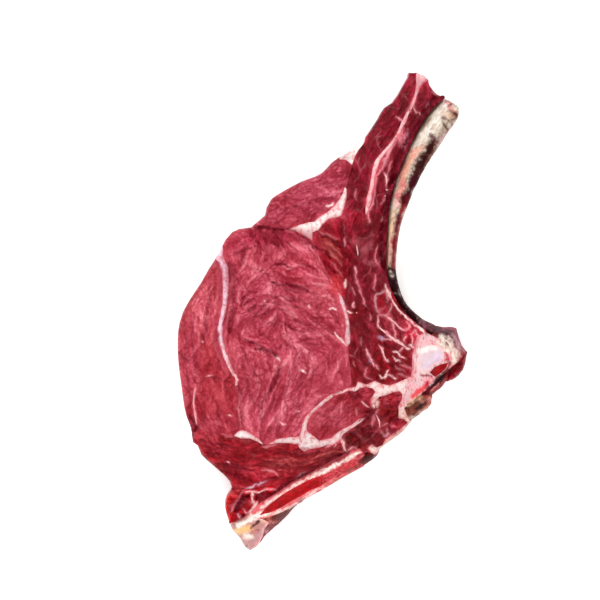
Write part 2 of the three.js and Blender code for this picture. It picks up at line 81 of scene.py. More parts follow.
# Each line, here and below, is written as x, y, x, y and so on.
# lines that the fibres follow, for each piece or group of pieces
FLOWS = {
    "upright": [
        [0, 151, 0, -148],
    ],
    "eye": [
        [-39.5, 63, -28, -11.5, -25, -57, -28, -96], [-65.5, 32.5, -63, 41.5, -56.5, 49.5, -47.5, 52.5],
        [-59, 36.5, -39.5, 47], [-39.5, 52, -26, 39], [-28, 53.5, -20, 45.5, -12, 35],
        [-15, 49.5, -7, 40.5, -0.5, 30], [-39.5, 43, -43.5, 26], [-24.5, 40.5, -28, 32.5, -34.5, 27.5],
        [-50.5, 32.5, -54, 10.5], [-58.5, 28.5, -59, -6.5, -61.5, -24.5],
        [-47.5, 10.5, -39.5, 17, -30.5, 20, -15, 17.5, -3, 13], [-37.5, 26, -24.5, 26.5, -11.5, 26, -2, 21],
        [-51, 0, -42, 7, -31, 10, -15, 6, -0.5, 0],
        [-47.5, -9, -39.5, -0.5, -29, 4, -17.5, 1.5, -2, -6.5, 11, -15], [-39.5, -13, -35.5, -6.5, -28, -2],
        [-51, -18, -39.5, -21.5, -26.5, -28.5], [-24.5, -11.5, -11.5, -16, 1.5, -24],
        [-54, -35, -50, -60.5, -49.5, -73.5], [-39.5, -31, -42, -41, -43.5, -52, -39.5, -63.5],
        [-26.5, -31, -30.5, -43, -38, -54.5, -39.5, -67, -42, -76.5],
        [-15, -26, -11, -37.5, -16, -50.5, -25, -63.5, -31, -76.5], [-0.5, -28.5, -0.5, -39, -5.5, -52],
        [14.5, 8, 19, -11.5, 17.5, -31, 12.5, -47.5], [8.5, -39, 2, -49.5, -11, -62.5, -15, -73.5],
    ],
    "cap": [
        [-56.5, 56.5, -74.5, 24, -83.5, -5, -86.5, -37.5, -80, -70, -69.5, -89.5],
        [-65.5, 35, -81, 8, -86.5, -6.5], [-68, 21, -70.5, 1.5, -72, -18, -69.5, -37.5, -63, -54, -59, -70],
        [-93, -11.5, -94, -31, -91.5, -50.5, -86.5, -70, -80, -83],
        [-80, -21.5, -80, -41, -76, -60.5, -69.5, -78],
    ],
    "upper": [
        [-60.5, 43.5, -28, 65, -2, 79.5, 24, 99], [-59, 45, -39.5, 56.5, -15, 69.5, 11, 86],
        [-34.5, 65, -8.5, 79.5, 17.5, 99], [-28, 56.5, -2, 67.5, 14.5, 79.5],
    ],
    "fold": [
        [-3, 63.5, 4.5, 47, 11, 27.5, 14, 4], [-3, 58.5, 3.5, 49.5, 12.5, 43], [-3, 43, 12, 24],
    ],
    "rib": [
        [66, 160, 58, 138, 37, 92.5, 30.5, 69.5, 27.5, 47, 27, 21, 30.5, -5, 36, -31],
        [63, 160, 55.5, 138, 34.5, 92.5, 27, 69.5, 23, 47, 21.5, 21, 23, -5],
        [68.5, 154, 51.5, 105.5, 42.5, 82.5, 37, 60, 34.5, 40.5, 33.5, 21],
    ],
    "chine": [
        [27, 47, 25.5, 21, 29.5, -5, 32, -31], [37, 40.5, 41, 17.5, 50, -2, 58, -15],
        [32, 8, 40.5, -11.5, 49, -28],
    ],
    "corner": [
        [-16, -83, 4.5, -69, 27.5, -56, 50, -47.5], [-5, -83, 32, -63.5],
    ],
    "base": [
        [-95.5, -70, -80, -87, -54, -97.5, -24.5, -100, 4.5, -89.5, 25.5, -76.5],
        [-94, -73.5, -76.5, -88.5, -54, -100, -24.5, -102.5, 4.5, -93, 24, -83],
        [-70, -102.5, -57, -115.5, -37.5, -117, -15, -108],
    ],
    "tip": [
        [-63.5, -135, -55, -122, -44, -115.5], [-59, -121, -47.5, -125.5, -39.5, -130],
    ],
    "feather": [
        [-54, -151.5, -39.5, -130, -11.5, -115.5, 14.5, -101, 32, -93, 53.5, -73.5, 76, -41],
    ],
}

PIECES = {
    "eye_muscle": Piece("loin", "#aa3d4c", 33.6, 2.7, 26, 2.6, "eye"),
    "cap_muscle": Piece("cap", "#9d2935", 33.4, 2.8, 15, 3.0, "cap"),
    "upper_muscle": Piece("fine", "#9b2d3d", 33.4, 2.8, 16, 3.5, "upper"),
    "fold_muscle": Piece("fine", "#850718", 33.5, 1.6, 7, 2.0, "fold"),
    "rib_muscle_outer": Piece("rib", "#700517", 33.5, 1.7, 9, 2.5, "rib"),
    "rib_muscle_inner": Piece("rib", "#730b1d", 33.56, 1.7, 9, 2.0, "rib"),
    "chine_muscle": Piece("rib", "#72020d", 33.62, 1.7, 9, 2.0, "chine"),
    "corner_muscle": Piece("fine", "#851522", 33.7, 1.8, 12, 2.0, "corner"),
    "small_muscle": Piece("fine", "#79050f", 33.5, 1.2, 5, 1.0, "corner"),
    "spine_muscle": Piece("coarse", "#5d0102", 33.2, 2.2, 8, 2.5, "corner"),
    "tip_muscle": Piece("coarse", "#b00207", 32.8, 2.6, 9, 3.0, "tip"),
    "base_muscle": Piece("base", "#8e0f1c", 33.3, 2.4, 12, 3.0, "base"),
    "fat_upper": Piece("fat", "#ede3df", 33.8, 0.8, 2, 1.5),
    "fat_corner": Piece("fat", "#f2fbf4", 33.7, 0.8, 5, 2.5),
    "fat_left": Piece("fat", "#dec3d1", 33.8, 0.8, 2, 1.5),
    "fat_eye": Piece("fat", "#d0b7bc", 33.8, 0.6, 1, 1.0),
    "fat_rib": Piece("fat", "#e5c1c2", 33.75, 0.6, 2, 1.5),
    "fat_chine": Piece("fat", "#e0ceca", 33.9, 0.8, 2, 1.5),
    "fat_lower": Piece("fat", "#d4c8c6", 33.85, 0.8, 2, 1.5),
    "fat_lower_left": Piece("fat", "#e2e2e0", 33.8, 0.8, 2, 1.5),
    "fat_spine": Piece("fat", "#d7b9af", 33.5, 2.0, 4, 3.0),
    "vertebra_body": Piece("cut_bone", "#d4b4b7", 34.0, 0.8, 4, 2.5),
    "rib_head": Piece("dry_bone", "#94374a", 24.0, 10.0, 9, 5.0),
    "vertebra_knob": Piece("dry_bone", "#a54d3a", 27.0, 6.0, 8, 5.0, "feather"),
    "canal_floor": Piece("dry_bone", "#951516", 22.0, 6.0, 5, 4.0, "feather"),
    "canal_lobe": Piece("coarse", "#820012", 24.0, 3.0, 6, 2.5, "corner"),
    "joint_cartilage": Piece("gristle", "#d1bbc1", 34.15, 1.6, 6, 1.0),
    "vertebra_marrow": Piece("marrow", "#8f000b", 33.85, 0.3, 3, 1.0, "feather"),
    "feather_bone": Piece("cut_bone", "#cf6167", 33.7, 0.6, 3, 2.0, "feather"),
    "feather_marrow": Piece("marrow", "#a6000a", 33.6, 0.4, 4, 1.0, "feather"),
    "feather_side": Piece("dry_bone", "#840b04", 18.0, 14.0, 10, 8.0, "feather"),
    "feather_cartilage": Piece("gristle", "#b57e77", 28.0, 6.5, 10, 5.0, "feather"),
    "feather_root": Piece("dry_bone", "#670100", 26.0, 6.0, 6, 4.0, "feather"),
}

# How strongly each kind of meat shows its texture. grain: mottling without direction;
# fibre, strand, wrinkle: streaks from fine to broad; blotch: lighter and darker fields;
# line: dark lines between bundles; cell: width of a bundle; fleck: pale specks painted as wet glints;
# sinew: pale skins between bundles; contrast: strength of all of it
Meat = namedtuple(
    "Meat", "grain fibre strand wrinkle blotch line cell fleck sinew contrast")
MEATS = {
    "loin": Meat(0.4, 0.28, 0.25, 0.9, 0.4, 1.0, 2.6, 0.25, 0.1, 1.1),
    "cap": Meat(0.35, 0.4, 0.4, 0.6, 0.4, 0.9, 3.0, 0.25, 0.1, 1.05),
    "fine": Meat(0.4, 0.5, 0.4, 0.5, 0.4, 1.0, 2.5, 0.3, 0.12, 1.1),
    "rib": Meat(0.4, 0.45, 0.5, 0.6, 0.8, 1.2, 2.8, 0.4, 0.35, 1.5),
    "coarse": Meat(0.45, 0.4, 0.6, 0.8, 1.2, 1.3, 3.2, 0.4, 0.3, 1.7),
    "base": Meat(0.4, 0.4, 0.6, 0.6, 0.8, 1.1, 2.8, 0.4, 0.15, 1.3),
}
TONE_SPREAD = (0.17, 0.45, 0.36)  # how far one step of tone moves red, green and blue
TONE_LIMIT = 2.8  # steps of tone between the darkest and the lightest meat and its plain colour
# spread of a step of tone on the other tissues
BONE_TONES = {
    "dry_bone": (0.1, 0.13, 0.15), "cut_bone": (0.02, 0.06, 0.06), "marrow": (0.22, 0.7, 0.5),
    "gristle": (0.015, 0.03, 0.025), "fat": (0.015, 0.04, 0.035)}
FRINGE = "#cc5060"  # where meat and fat grow into each other
GRISTLE_EDGE = "#f0c0bc"  # rim of the gristle, where it turns to bone
SINEW = "#d4707c"  # thin pale skins between bundles

# ---- what the cut face shows ----
PALETTE = {
    "cream": "#e3d6c6", "ivory": "#f6ebe2", "khaki": "#d2c6a8", "bonegrey": "#bdaca0", "tan": "#d6a888",
    "peach": "#dc9a86", "salmon": "#d8847c", "rose": "#e8858f", "pinkwhite": "#fbdcd8",
    "crimson": "#b00c2a", "red": "#d8283c", "blood": "#7a0c1c", "maroon": "#400a16", "black": "#24060b",
    "brown": "#6a3a30", "umber": "#451f1c", "olive": "#8a7058", "purple": "#7a4854", "lilac": "#ddc9e2",
    "mauve": "#c4989e", "yellow": "#e8b87e", "orange": "#b8603c", "pink": "#f0a0a8", "wine": "#8c1626",
    "beef": "#9e2d3e", "violet": "#b896b8", "dusk": "#5a3038", "rust": "#5e1a10", "plum": "#5c303a",
}
# stains on bone and gristle: colour, width, strength, lines. The dark ones down the rib's outer
# side and at its lower end are dried blood and membrane, and also the painted shade of those walls
BONE_STAINS_AND_SHADE = [
    ("pinkwhite", 3.9, 0.6, [75, 139, 78, 135]), ("khaki", 3.2, 0.5, [73.5, 135, 64.5, 124]),
    ("ivory", 4.5, 0.5, [79.5, 132.5, 64.5, 110.5]), ("rose", 2, 0.6, [80.5, 136.5, 83.5, 134, 82.5, 132]),
    ("blood", 1, 0.8, [82, 137, 83.5, 135, 82, 134]),
    ("salmon", 2.3, 0.7, [84, 132.5, 86.5, 130, 88, 127.5]),
    ("brown", 2.6, 0.85, [84, 130, 86.5, 127, 84.5, 125]), ("maroon", 1.6, 0.9, [86.5, 129.5, 88, 127]),
    ("tan", 2.6, 0.5, [80.5, 128.5, 83.5, 127.5]), ("mauve", 3.2, 0.6, [86, 121.5, 76, 110]),
    ("brown", 2, 0.8, [79, 126, 82.5, 124, 84.5, 122]), ("umber", 1.2, 0.8, [78, 123.5, 81.5, 119]),
    ("brown", 2.6, 0.5, [80.5, 119.5, 75, 112]), ("bonegrey", 1, 0.6, [66.5, 126, 54, 106.5]),
    ("tan", 1.2, 0.8, [65, 123.5, 60.5, 117, 54.5, 105.5]), ("cream", 2, 0.8, [63, 117, 56.5, 105.5]),
    ("peach", 2.6, 0.5, [66, 108, 62.5, 104]), ("peach", 4.5, 1, [61, 105.5, 54, 93.5, 51, 82]),
    ("tan", 1.3, 0.6, [58, 101, 54.5, 94]), ("salmon", 1.7, 0.9, [56.5, 105.5, 53.5, 99.5, 50, 88]),
    ("cream", 1.4, 0.9, [54.5, 104.5, 52, 99.5, 47, 84]), ("salmon", 3.9, 0.95, [52, 86, 49, 75]),
    ("rose", 3.2, 0.5, [49, 75, 48, 69.5]), ("tan", 3.2, 0.85, [46.5, 65.5, 43.5, 52]),
    ("khaki", 1.3, 0.7, [45.5, 63, 44.5, 57]), ("peach", 2.6, 0.8, [43, 47, 41, 28.5]),
    ("khaki", 1, 0.5, [41, 43, 41, 36.5]), ("orange", 1.2, 0.7, [44.5, 49.5, 44.5, 46]),
    ("purple", 2.2, 0.8, [46.5, 82, 44.5, 76, 42.5, 65]),
    ("bonegrey", 0.9, 0.6, [45, 80.5, 42.5, 67.5], [41, 57, 40, 40.5]),
    # dark strokes down the rib's outer side: dried blood and membrane, and the painted shade of that wall
    ("dusk", 3.9, 0.9, [70.5, 114.5, 72.5, 112]), ("umber", 6.5, 1, [71.5, 109, 66.5, 100]),
    ("umber", 7.2, 1, [66.5, 100, 60, 87]), ("maroon", 5.9, 1, [60, 87, 54.5, 73.5]),
    ("blood", 4.5, 0.9, [54, 74, 49.5, 59]), ("blood", 4.2, 0.9, [49.5, 59, 46.5, 43]),
    ("wine", 3.6, 0.9, [46.5, 47, 46, 28.5]), ("black", 2.6, 0.7, [71, 109, 64, 95]),
    ("maroon", 2.2, 0.8, [53.5, 77.5, 53, 71.5]), ("maroon", 2, 0.8, [49.5, 63.5, 47.5, 52.5]),
    ("black", 1.3, 0.5, [46.5, 48, 45.5, 32.5]), ("crimson", 1.6, 0.6, [54.5, 82, 52, 78]),
    ("wine", 2.3, 0.8, [53.5, 69, 51, 65]), ("brown", 2, 0.7, [75, 110, 67.5, 97]),
    ("mauve", 0.8, 0.45, [62.5, 84.5, 58, 76, 52, 60, 50, 50.5, 48, 31]),
    # near black at the rib's lower end: membrane, and the painted shade of its concave side wall
    ("maroon", 3.2, 0.9, [41.5, 26.5, 43.5, 23, 44.5, 18]),
    ("black", 2.6, 0.95, [43.5, 28.5, 47, 25.5, 47.5, 21.5]),
    ("black", 6.5, 1, [46.5, 19.5, 49.5, 8, 58, -3, 62.5, -6]),
    ("maroon", 1.3, 0.8, [49.5, 17.5, 51, 11.5, 53.5, 6.5, 58, 0.5, 63, -4]),
    ("purple", 4.5, 0.9, [64.5, -7, 71.5, -11.5]), ("maroon", 2.6, 0.9, [71.5, -9, 76, -11, 82.5, -11.5]),
    ("mauve", 0.9, 0.5, [66, -4.5, 71, -6.5]), ("plum", 5.9, 0.85, [66, -8.5, 71.5, -11.5, 82.5, -13.5]),
    ("rust", 2.3, 0.85, [68.5, -12.5, 77, -16]), ("mauve", 4.5, 0.6, [83.5, -15.5, 86.5, -17.5, 89, -22]),
    ("maroon", 1.3, 0.7, [87, -13.5, 88.5, -19.5]),
    ("cream", 2.6, 0.7, [77, -16, 81.5, -17.5, 84.5, -21.5]), ("umber", 0.8, 0.8, [82, -14.5, 84, -17]),
    ("wine", 1.3, 0.5, [89, -22, 92, -24.5]), ("cream", 4.9, 0.8, [77, -19, 86.5, -28.5, 86, -32.5]),
    ("bonegrey", 2, 0.6, [80, -21, 85.5, -26, 87, -30.5]), ("bonegrey", 0.9, 0.6, [76, -18, 82, -23]),
    ("umber", 0.8, 0.7, [79, -19, 81.5, -21.5]), ("bonegrey", 0.9, 0.6, [84, -21, 90, -26]),
    ("mauve", 1.6, 0.6, [86, -19, 88.5, -23, 92, -24.5]),
    ("pink", 2.6, 0.4, [65, -21, 69.5, -19.5, 74, -23]), ("pink", 2, 0.45, [62, -17, 64, -14.5]),
    ("rose", 2, 0.5, [66, -11, 70.5, -15.5]), ("crimson", 2.3, 0.9, [80, -27.5, 81.5, -30.5]),
    ("rose", 1.3, 0.5, [82.5, -26.5, 83.5, -32, 82, -35]),
    ("blood", 2.2, 0.85, [82.5, -33, 81.5, -37, 79, -39.5]),
    ("blood", 1.2, 0.85, [64, -41, 67.5, -41, 70.5, -42]),
    ("lilac", 3.2, 0.5, [67, -36, 71.5, -32, 76, -29]), ("violet", 2, 0.35, [68.5, -35, 75.5, -30.5]),
    ("ivory", 2.6, 0.6, [63, -26, 68.5, -23.5, 73.5, -23.5]),
    ("rose", 3.9, 0.55, [67, -43.5, 71.5, -45, 74, -43]), ("pink", 2.6, 0.5, [57.5, -47.5, 61, -49.5]),
    ("red", 2.9, 0.9, [67.5, -47.5, 58.5, -55]), ("crimson", 2, 0.9, [68.5, -46, 67, -49.5]),
    ("tan", 1.7, 0.9, [65, -53.5, 55.5, -60.5]), ("umber", 1, 0.9, [69.5, -48, 64.5, -54, 54, -63]),
    ("maroon", 2.6, 0.9, [81.5, -38.5, 69.5, -50]), ("maroon", 3.2, 0.9, [82.5, -39, 78, -41.5, 74, -45.5]),
    ("black", 1.6, 0.8, [80, -40.5, 71.5, -47.5]), ("brown", 1.3, 0.6, [84, -36.5, 74, -43]),
    ("salmon", 1.3, 0.6, [70.5, -51.5, 76, -47]), ("blood", 2.6, 0.9, [66, -53.5, 69, -51.5]),
    ("wine", 2, 0.6, [79.5, -45.5, 76, -49.5]),
    ("wine", 7.8, 1, [93.5, -28, 92.5, -34, 89, -39, 84.5, -41.5]),
    ("maroon", 2.6, 0.9, [83.5, -40.5, 86.5, -36, 90, -33]),
    ("crimson", 2, 0.5, [92, -32, 91, -36.5, 88, -39.5]), ("rose", 0.7, 0.35, [93, -26.5, 95, -31]),
    ("tan", 3.2, 0.8, [55.5, -60.5, 63, -56]), ("umber", 2.6, 0.6, [58, -63.5, 66, -57]),
    ("black", 3.2, 0.9, [61, -63.5, 66, -58.5]), ("umber", 1.3, 0.8, [56.5, -62.5, 64.5, -56.5]),
    ("salmon", 2, 0.4, [64.5, -58, 68.5, -57]), ("bonegrey", 2, 0.8, [58, -69, 70.5, -62]),
    ("brown", 2, 0.7, [56, -65, 58.5, -66.5]), ("mauve", 1.3, 0.6, [69.5, -56, 71, -59]),
    ("ivory", 2, 0.8, [-15, -111, 8, -100, 24, -91]), ("pinkwhite", 2.2, 0.8, [-39.5, -127, -15, -111]),
    ("rose", 0.9, 0.6, [-4.5, -102, 6.5, -97]),
    ("pinkwhite", 1.6, 0.8, [-42, -133, -31, -130.5, -21.5, -127, -5, -116.5, 1.5, -114]),
    ("salmon", 1.3, 0.6, [-0.5, -113, 10.5, -107]), ("crimson", 3.9, 0.8, [-0.5, -110, 25.5, -97]),
    ("blood", 1.6, 0.7, [10, -105.5, 25, -97.5]), ("tan", 2, 0.8, [5.5, -113, 27, -102]),
    ("olive", 1, 0.6, [5.5, -112, 23, -102.5]), ("brown", 2, 0.7, [17, -103.5, 24, -99.5]),
    ("rust", 5.2, 0.95, [-13.5, -124, -33, -142.5]), ("black", 2, 0.6, [-17.5, -128, -31.5, -142.5]),
    ("rust", 2.6, 0.6, [-31.5, -134.5, -25, -130.5]), ("blood", 2.2, 0.6, [-35.5, -142.5, -34.5, -138.5]),
    ("cream", 1, 0.7, [-33, -132.5, -20, -127]), ("yellow", 4.5, 0.95, [-57, -143.5, -48, -140.5]),
    ("ivory", 2.6, 0.8, [-55, -139, -42, -132, -35.5, -130.5]),
    ("ivory", 3.9, 0.7, [-46, -146, -50.5, -146]), ("tan", 2, 0.5, [-39.5, -136, -34.5, -133]),
    ("mauve", 4.5, 0.5, [-39.5, -142.5, -42, -147, -47.5, -152]),
    ("purple", 1.7, 0.5, [-37, -140.5, -39, -145]), ("rose", 2, 0.4, [-43.5, -151.5, -39.5, -147]),
    ("salmon", 2.6, 0.5, [-35.5, -136, -33, -138.5]),
    ("umber", 1, 0.95, [-46.5, -140.5, -44.5, -138, -41.5, -136]),
    ("blood", 1, 0.7, [-43, -141.5, -42, -141.5]), ("blood", 1, 0.8, [-50, -152, -49.5, -153]),
    ("umber", 2.6, 0.8, [25, -98, 28, -95, 32, -94]), ("blood", 1.6, 0.7, [23.5, -93.5, 28, -91]),
    ("tan", 1.3, 0.6, [21.5, -104.5, 28, -101, 34.5, -95.5]), ("mauve", 1, 0.5, [32, -97, 36, -93]),
]
# fat, sinew and skin on the meat, thinner at their ends: colour, width, strength, lines
FAT_STREAKS = [
    ("rose", 0.8, 0.6, [21.5, 80.5, 21.5, 73]), ("pink", 1, 0.85, [14, 48, 14.5, 43]),
    ("pinkwhite", 1.2, 0.95, [4.5, 2, 6.5, 2.5, 8.5, 1.5]), ("pink", 1, 0.8, [-9.5, 4.5, -8.5, 3]),
    ("pink", 1, 0.7, [-38, 8, -37, 7]), ("pinkwhite", 1, 0.9, [-14, -37, -11, -39.5]),
    ("pink", 0.8, 0.7, [-17, -63.5, -15, -65]), ("pink", 0.8, 0.8, [-28, -71.5, -24, -73.5]),
    ("pinkwhite", 1.4, 0.9, [-31, -28.5, -28, -31.5]), ("pinkwhite", 1.3, 1, [8, -13.5, 15, -22]),
    ("rose", 0.8, 0.6, [-54.5, -52.5, -54, -57, -55, -62.5, -53, -75]),
    ("pinkwhite", 0.8, 0.9, [17.5, -50, 7.5, -54]),
    ("pink", 0.8, 0.85, [-82.5, -49, -83.5, -53.5, -83.5, -63.5, -82, -73]),
    ("pink", 1, 0.8, [-79, -18, -78, -20]),
    ("pink", 0.9, 0.7, [-76, -42, -74, -41.5, -71.5, -41.5], [-61.5, -67, -59.5, -67.5]),
    ("pinkwhite", 2.2, 1, [2.5, 68, 7, 71]), ("pinkwhite", 1, 1, [12, -80, 14.5, -91]),
    ("pink", 0.8, 0.8, [7.5, -84, 8.5, -86.5, 7.5, -88]),
    ("rose", 0.8, 0.6, [-39.5, -88, -31, -86.5], [-39.5, -102.5, -31.5, -104.5, -29, -107]),
    ("rose", 0.9, 0.55, [-65.5, -79.5, -62.5, -81, -58.5, -81]),
    ("pinkwhite", 1, 0.83, [41, 18, 42.5, 13.5, 47.5, 4, 54.5, -4, 68.5, -14.5]),
    ("mauve", 1, 0.55, [35, 11.5, 39, 13, 42.5, 15.5]), ("mauve", 1.1, 0.69, [35, 12.5, 34, 4, 36, -0.5]),
    ("mauve", 0.9, 0.64, [36, -2, 40, -2.5, 42.5, -1.5]),
    ("mauve", 0.7, 0.55, [42.5, -1.5, 44.5, 2.5, 45, 6.5]),
    ("mauve", 0.9, 0.55, [41, 13.5, 42.5, 10, 41.5, 6]), ("rose", 0.9, 0.55, [34, 24.5, 33.5, 14.5]),
    ("rose", 0.7, 0.55, [36, 43.5, 34, 39, 33.5, 35, 36, 30.5]),
    ("pink", 1.4, 0.78, [36, -3, 36, -8, 38, -11, 44.5, -16]),
    ("pinkwhite", 1.4, 0.74, [43.5, -15.5, 56, -24]),
    ("pink", 1.1, 0.78, [41, -3, 44.5, -5, 51.5, -11.5, 54.5, -11]),
    ("pink", 0.9, 0.64, [45, -5, 47.5, -17]), ("pink", 1.5, 0.74, [53.5, -15.5, 53, -19]),
    ("pink", 1, 0.69, [57.5, -23, 58.5, -18, 58, -14.5, 60, -11.5], [60, -11.5, 62, -15.5, 61, -20,
     58.5, -23.5]), ("pink", 0.9, 0.64, [54.5, -6.5, 56.5, -9, 54, -12.5]),
    ("pinkwhite", 1.7, 0.64, [56.5, -21.5, 60.5, -24, 59.5, -27.5]),
    ("violet", 1.7, 0.46, [36, -16, 40, -17.5]), ("pink", 0.9, 0.55, [40, -17.5, 45, -17.5]),
    ("pink", 0.9, 0.69, [36.5, -21.5, 39, -25.5, 40, -29, 41.5, -32]),
    ("pinkwhite", 1, 0.74, [40.5, -30.5, 42.5, -32]),
    ("pinkwhite", 1.1, 0.74, [45.5, -26, 49, -26.5, 50, -28.5]), ("pink", 0.9, 0.74, [50, -25.5, 52, -23]),
    ("pink", 1.1, 0.74, [50, -28.5, 53.5, -30]), ("pinkwhite", 0.9, 0.69, [45.5, -29, 47.5, -31, 50, -32]),
    ("pink", 1, 0.74, [28, -24.5, 33.5, -35]), ("pink", 1, 0.64, [34, -33, 36, -37]),
    ("violet", 1.9, 0.55, [30, -31, 31.5, -32.5]),
    ("rose", 0.7, 0.64, [28, -36.5, 27.5, -40.5, 29.5, -43, 32, -44]),
    ("pinkwhite", 1, 0.74, [36.5, -41, 39, -43, 41.5, -41.5, 41.5, -39, 43, -37.5]),
    ("pinkwhite", 0.9, 0.74, [43, -40.5, 47.5, -43]), ("rose", 0.9, 0.64, [47, -35, 49, -37, 53, -38.5]),
    ("rose", 0.9, 0.55, [50, -34, 58, -37], [49, -40.5, 57.5, -43]),
    ("pink", 0.9, 0.74, [21, 30, 21.5, 24]), ("rose", 0.8, 0.64, [21.5, 24, 23, 18, 28, 4]),
    ("pink", 1.3, 0.83, [20.5, 6.5, 19.5, 3]), ("rose", 0.7, 0.55, [19.5, 16, 21, 10.5]),
    ("rose", 0.7, 0.64, [30.5, -1.5, 31.5, -5]),
    ("pinkwhite", 1, 0.83, [15, 21.5, 14.5, 16], [15.5, 0.5, 19, -0.5]),
    ("rose", 0.9, 0.46, [25, -17, 25.5, -22]), ("rose", 0.7, 0.46, [19.5, -32, 21, -35]),
    ("pink", 0.9, 0.74, [25, -58, 29.5, -62]), ("rose", 0.9, 0.55, [12.5, -58.5, 12, -64.5]),
    ("rose", 0.9, 0.46, [21.5, -62.5, 22, -67]), ("mauve", 1.4, 0.55, [33.5, -55, 32.5, -58.5, 34, -61]),
    ("rose", 1.9, 0.55, [36, -63.5, 32.5, -70, 32, -74]),
    ("rose", 0.7, 0.46, [34.5, -66.5, 36.5, -71, 37, -75], [38.5, -74, 42.5, -73, 45.5, -75]),
    ("mauve", 1.3, 0.51, [38, -78, 40.5, -80.5, 43, -78.5, 41.5, -76.5]),
    ("rose", 0.9, 0.55, [45.5, -73, 47.5, -75]), ("pink", 1.1, 0.69, [12.5, -79.5, 12, -84, 14, -88.5]),
    ("pink", 0.7, 0.55, [15.5, -91.5, 19, -88, 22, -89]), ("pink", 0.9, 0.64, [1.5, -88, 12, -83]),
    ("ivory", 2.6, 0.55, [30, -88.5, 34.5, -89.5]), ("salmon", 1.4, 0.46, [41, -84, 48, -80]),
    ("tan", 0.9, 0.55, [38, -89.5, 47, -84, 53.5, -78, 57.5, -73]),
    ("umber", 0.6, 0.55, [54.5, -76, 56.5, -72]), ("pink", 1, 0.78, [60.5, 141, 56, 130.5]),
    ("pink", 0.9, 0.74, [58.5, 136, 61, 129.5]), ("pinkwhite", 1.1, 0.74, [62.5, 130, 64, 127.5]),
    ("pink", 1, 0.74, [69, 136.5, 67, 133]), ("rose", 0.9, 0.46, [71.5, 143, 74, 141]),
    ("pink", 1.1, 0.78, [47.5, 127, 53, 123]), ("rose", 3.2, 0.51, [52, 115.5, 53, 106.5]),
    ("rose", 1.1, 0.55, [49.5, 114, 51.5, 110]), ("pink", 1.7, 0.78, [49, 114, 43, 104.5, 41, 99]),
    ("rose", 1.1, 0.64, [53, 119.5, 46.5, 110]), ("pinkwhite", 1.5, 0.83, [45.5, 111, 43.5, 107]),
    ("rose", 1, 0.74, [42.5, 101, 36, 89.5, 34, 83, 33.5, 75.5, 32, 70, 29.5, 64.5, 30, 58.5]),
    ("mauve", 2.6, 0.55, [40.5, 100, 40.5, 95.5]), ("pink", 1.5, 0.74, [40, 90.5, 41.5, 87, 41.5, 83]),
    ("rose", 0.7, 0.64, [41.5, 83, 42.5, 78.5, 38, 70]), ("pink", 0.7, 0.46, [38.5, 62.5, 38, 59]),
    ("rose", 0.7, 0.55, [45, 99, 41.5, 89]), ("wine", 1.5, 0.64, [58, 135, 54, 127.5]),
    ("wine", 1.4, 0.55, [48, 114, 43.5, 106]), ("red", 0.8, 0.55, [40, 100, 36, 93.5, 31.5, 75.5]),
    ("beef", 2.7, 0.92, [-71.5, 32.5, -67.5, 30, -66.5, 26, -67, 10, -69, -5, -69.5, -15, -68, -23.5,
     -61.5, -39.5]),
    ("beef", 2.1, 0.92, [-60.5, 32.5, -61, 10, -65, -15, -64, -23.5, -60, -33, -56.5, -39]),
    ("pinkwhite", 1.3, 0.83, [-66, -20, -59.5, -38.5, -57, -42]),
    ("pinkwhite", 1, 0.74, [-57.5, -41, -56, -44, -56, -48]),
    ("salmon", 0.9, 0.28, [2.5, 45, 8, 41, 12, 36]), ("rose", 1.1, 0.37, [-2.5, 52, 10, 47.5]),
    ("salmon", 0.9, 0.28, [4, 39.5, 9, 35, 12.5, 30.5]),
    ("rose", 0.7, 0.28, [5.5, 32.5, 10, 27.5, 12, 23.5]),
    ("red", 1.7, 0.26, [-7, 45.5, -5, 37.5, -1, 29, 4, 19.5, 9, 12.5]),
    ("lilac", 0.8, 0.55, [-51, -115, -37, -110.5]),
    ("rose", 1, 0.6, [-52, -116.5, -57.5, -125, -59.5, -130.5]),
    ("rose", 1.3, 0.74, [-50.5, -117, -46.5, -116.5, -42, -117.5, -37, -115.5, -32.5, -115, -30.5, -117,
     -31.5, -119.5]), ("pinkwhite", 1.7, 0.78, [-46, -117.5, -46, -122, -43.5, -125.5]),
    ("pinkwhite", 3.2, 0.74, [-43, -124, -45.5, -129.5, -49.5, -134.5]),
    ("pink", 1.5, 0.78, [-55, -131.5, -52, -136]), ("pink", 1.1, 0.64, [-52, -128, -48, -131.5]),
    ("mauve", 0.7, 0.74, [-17.5, -108, -14, -105.5, -10.5, -104]),
    ("pink", 0.9, 0.74, [-63, -97, -60.5, -98]),
]
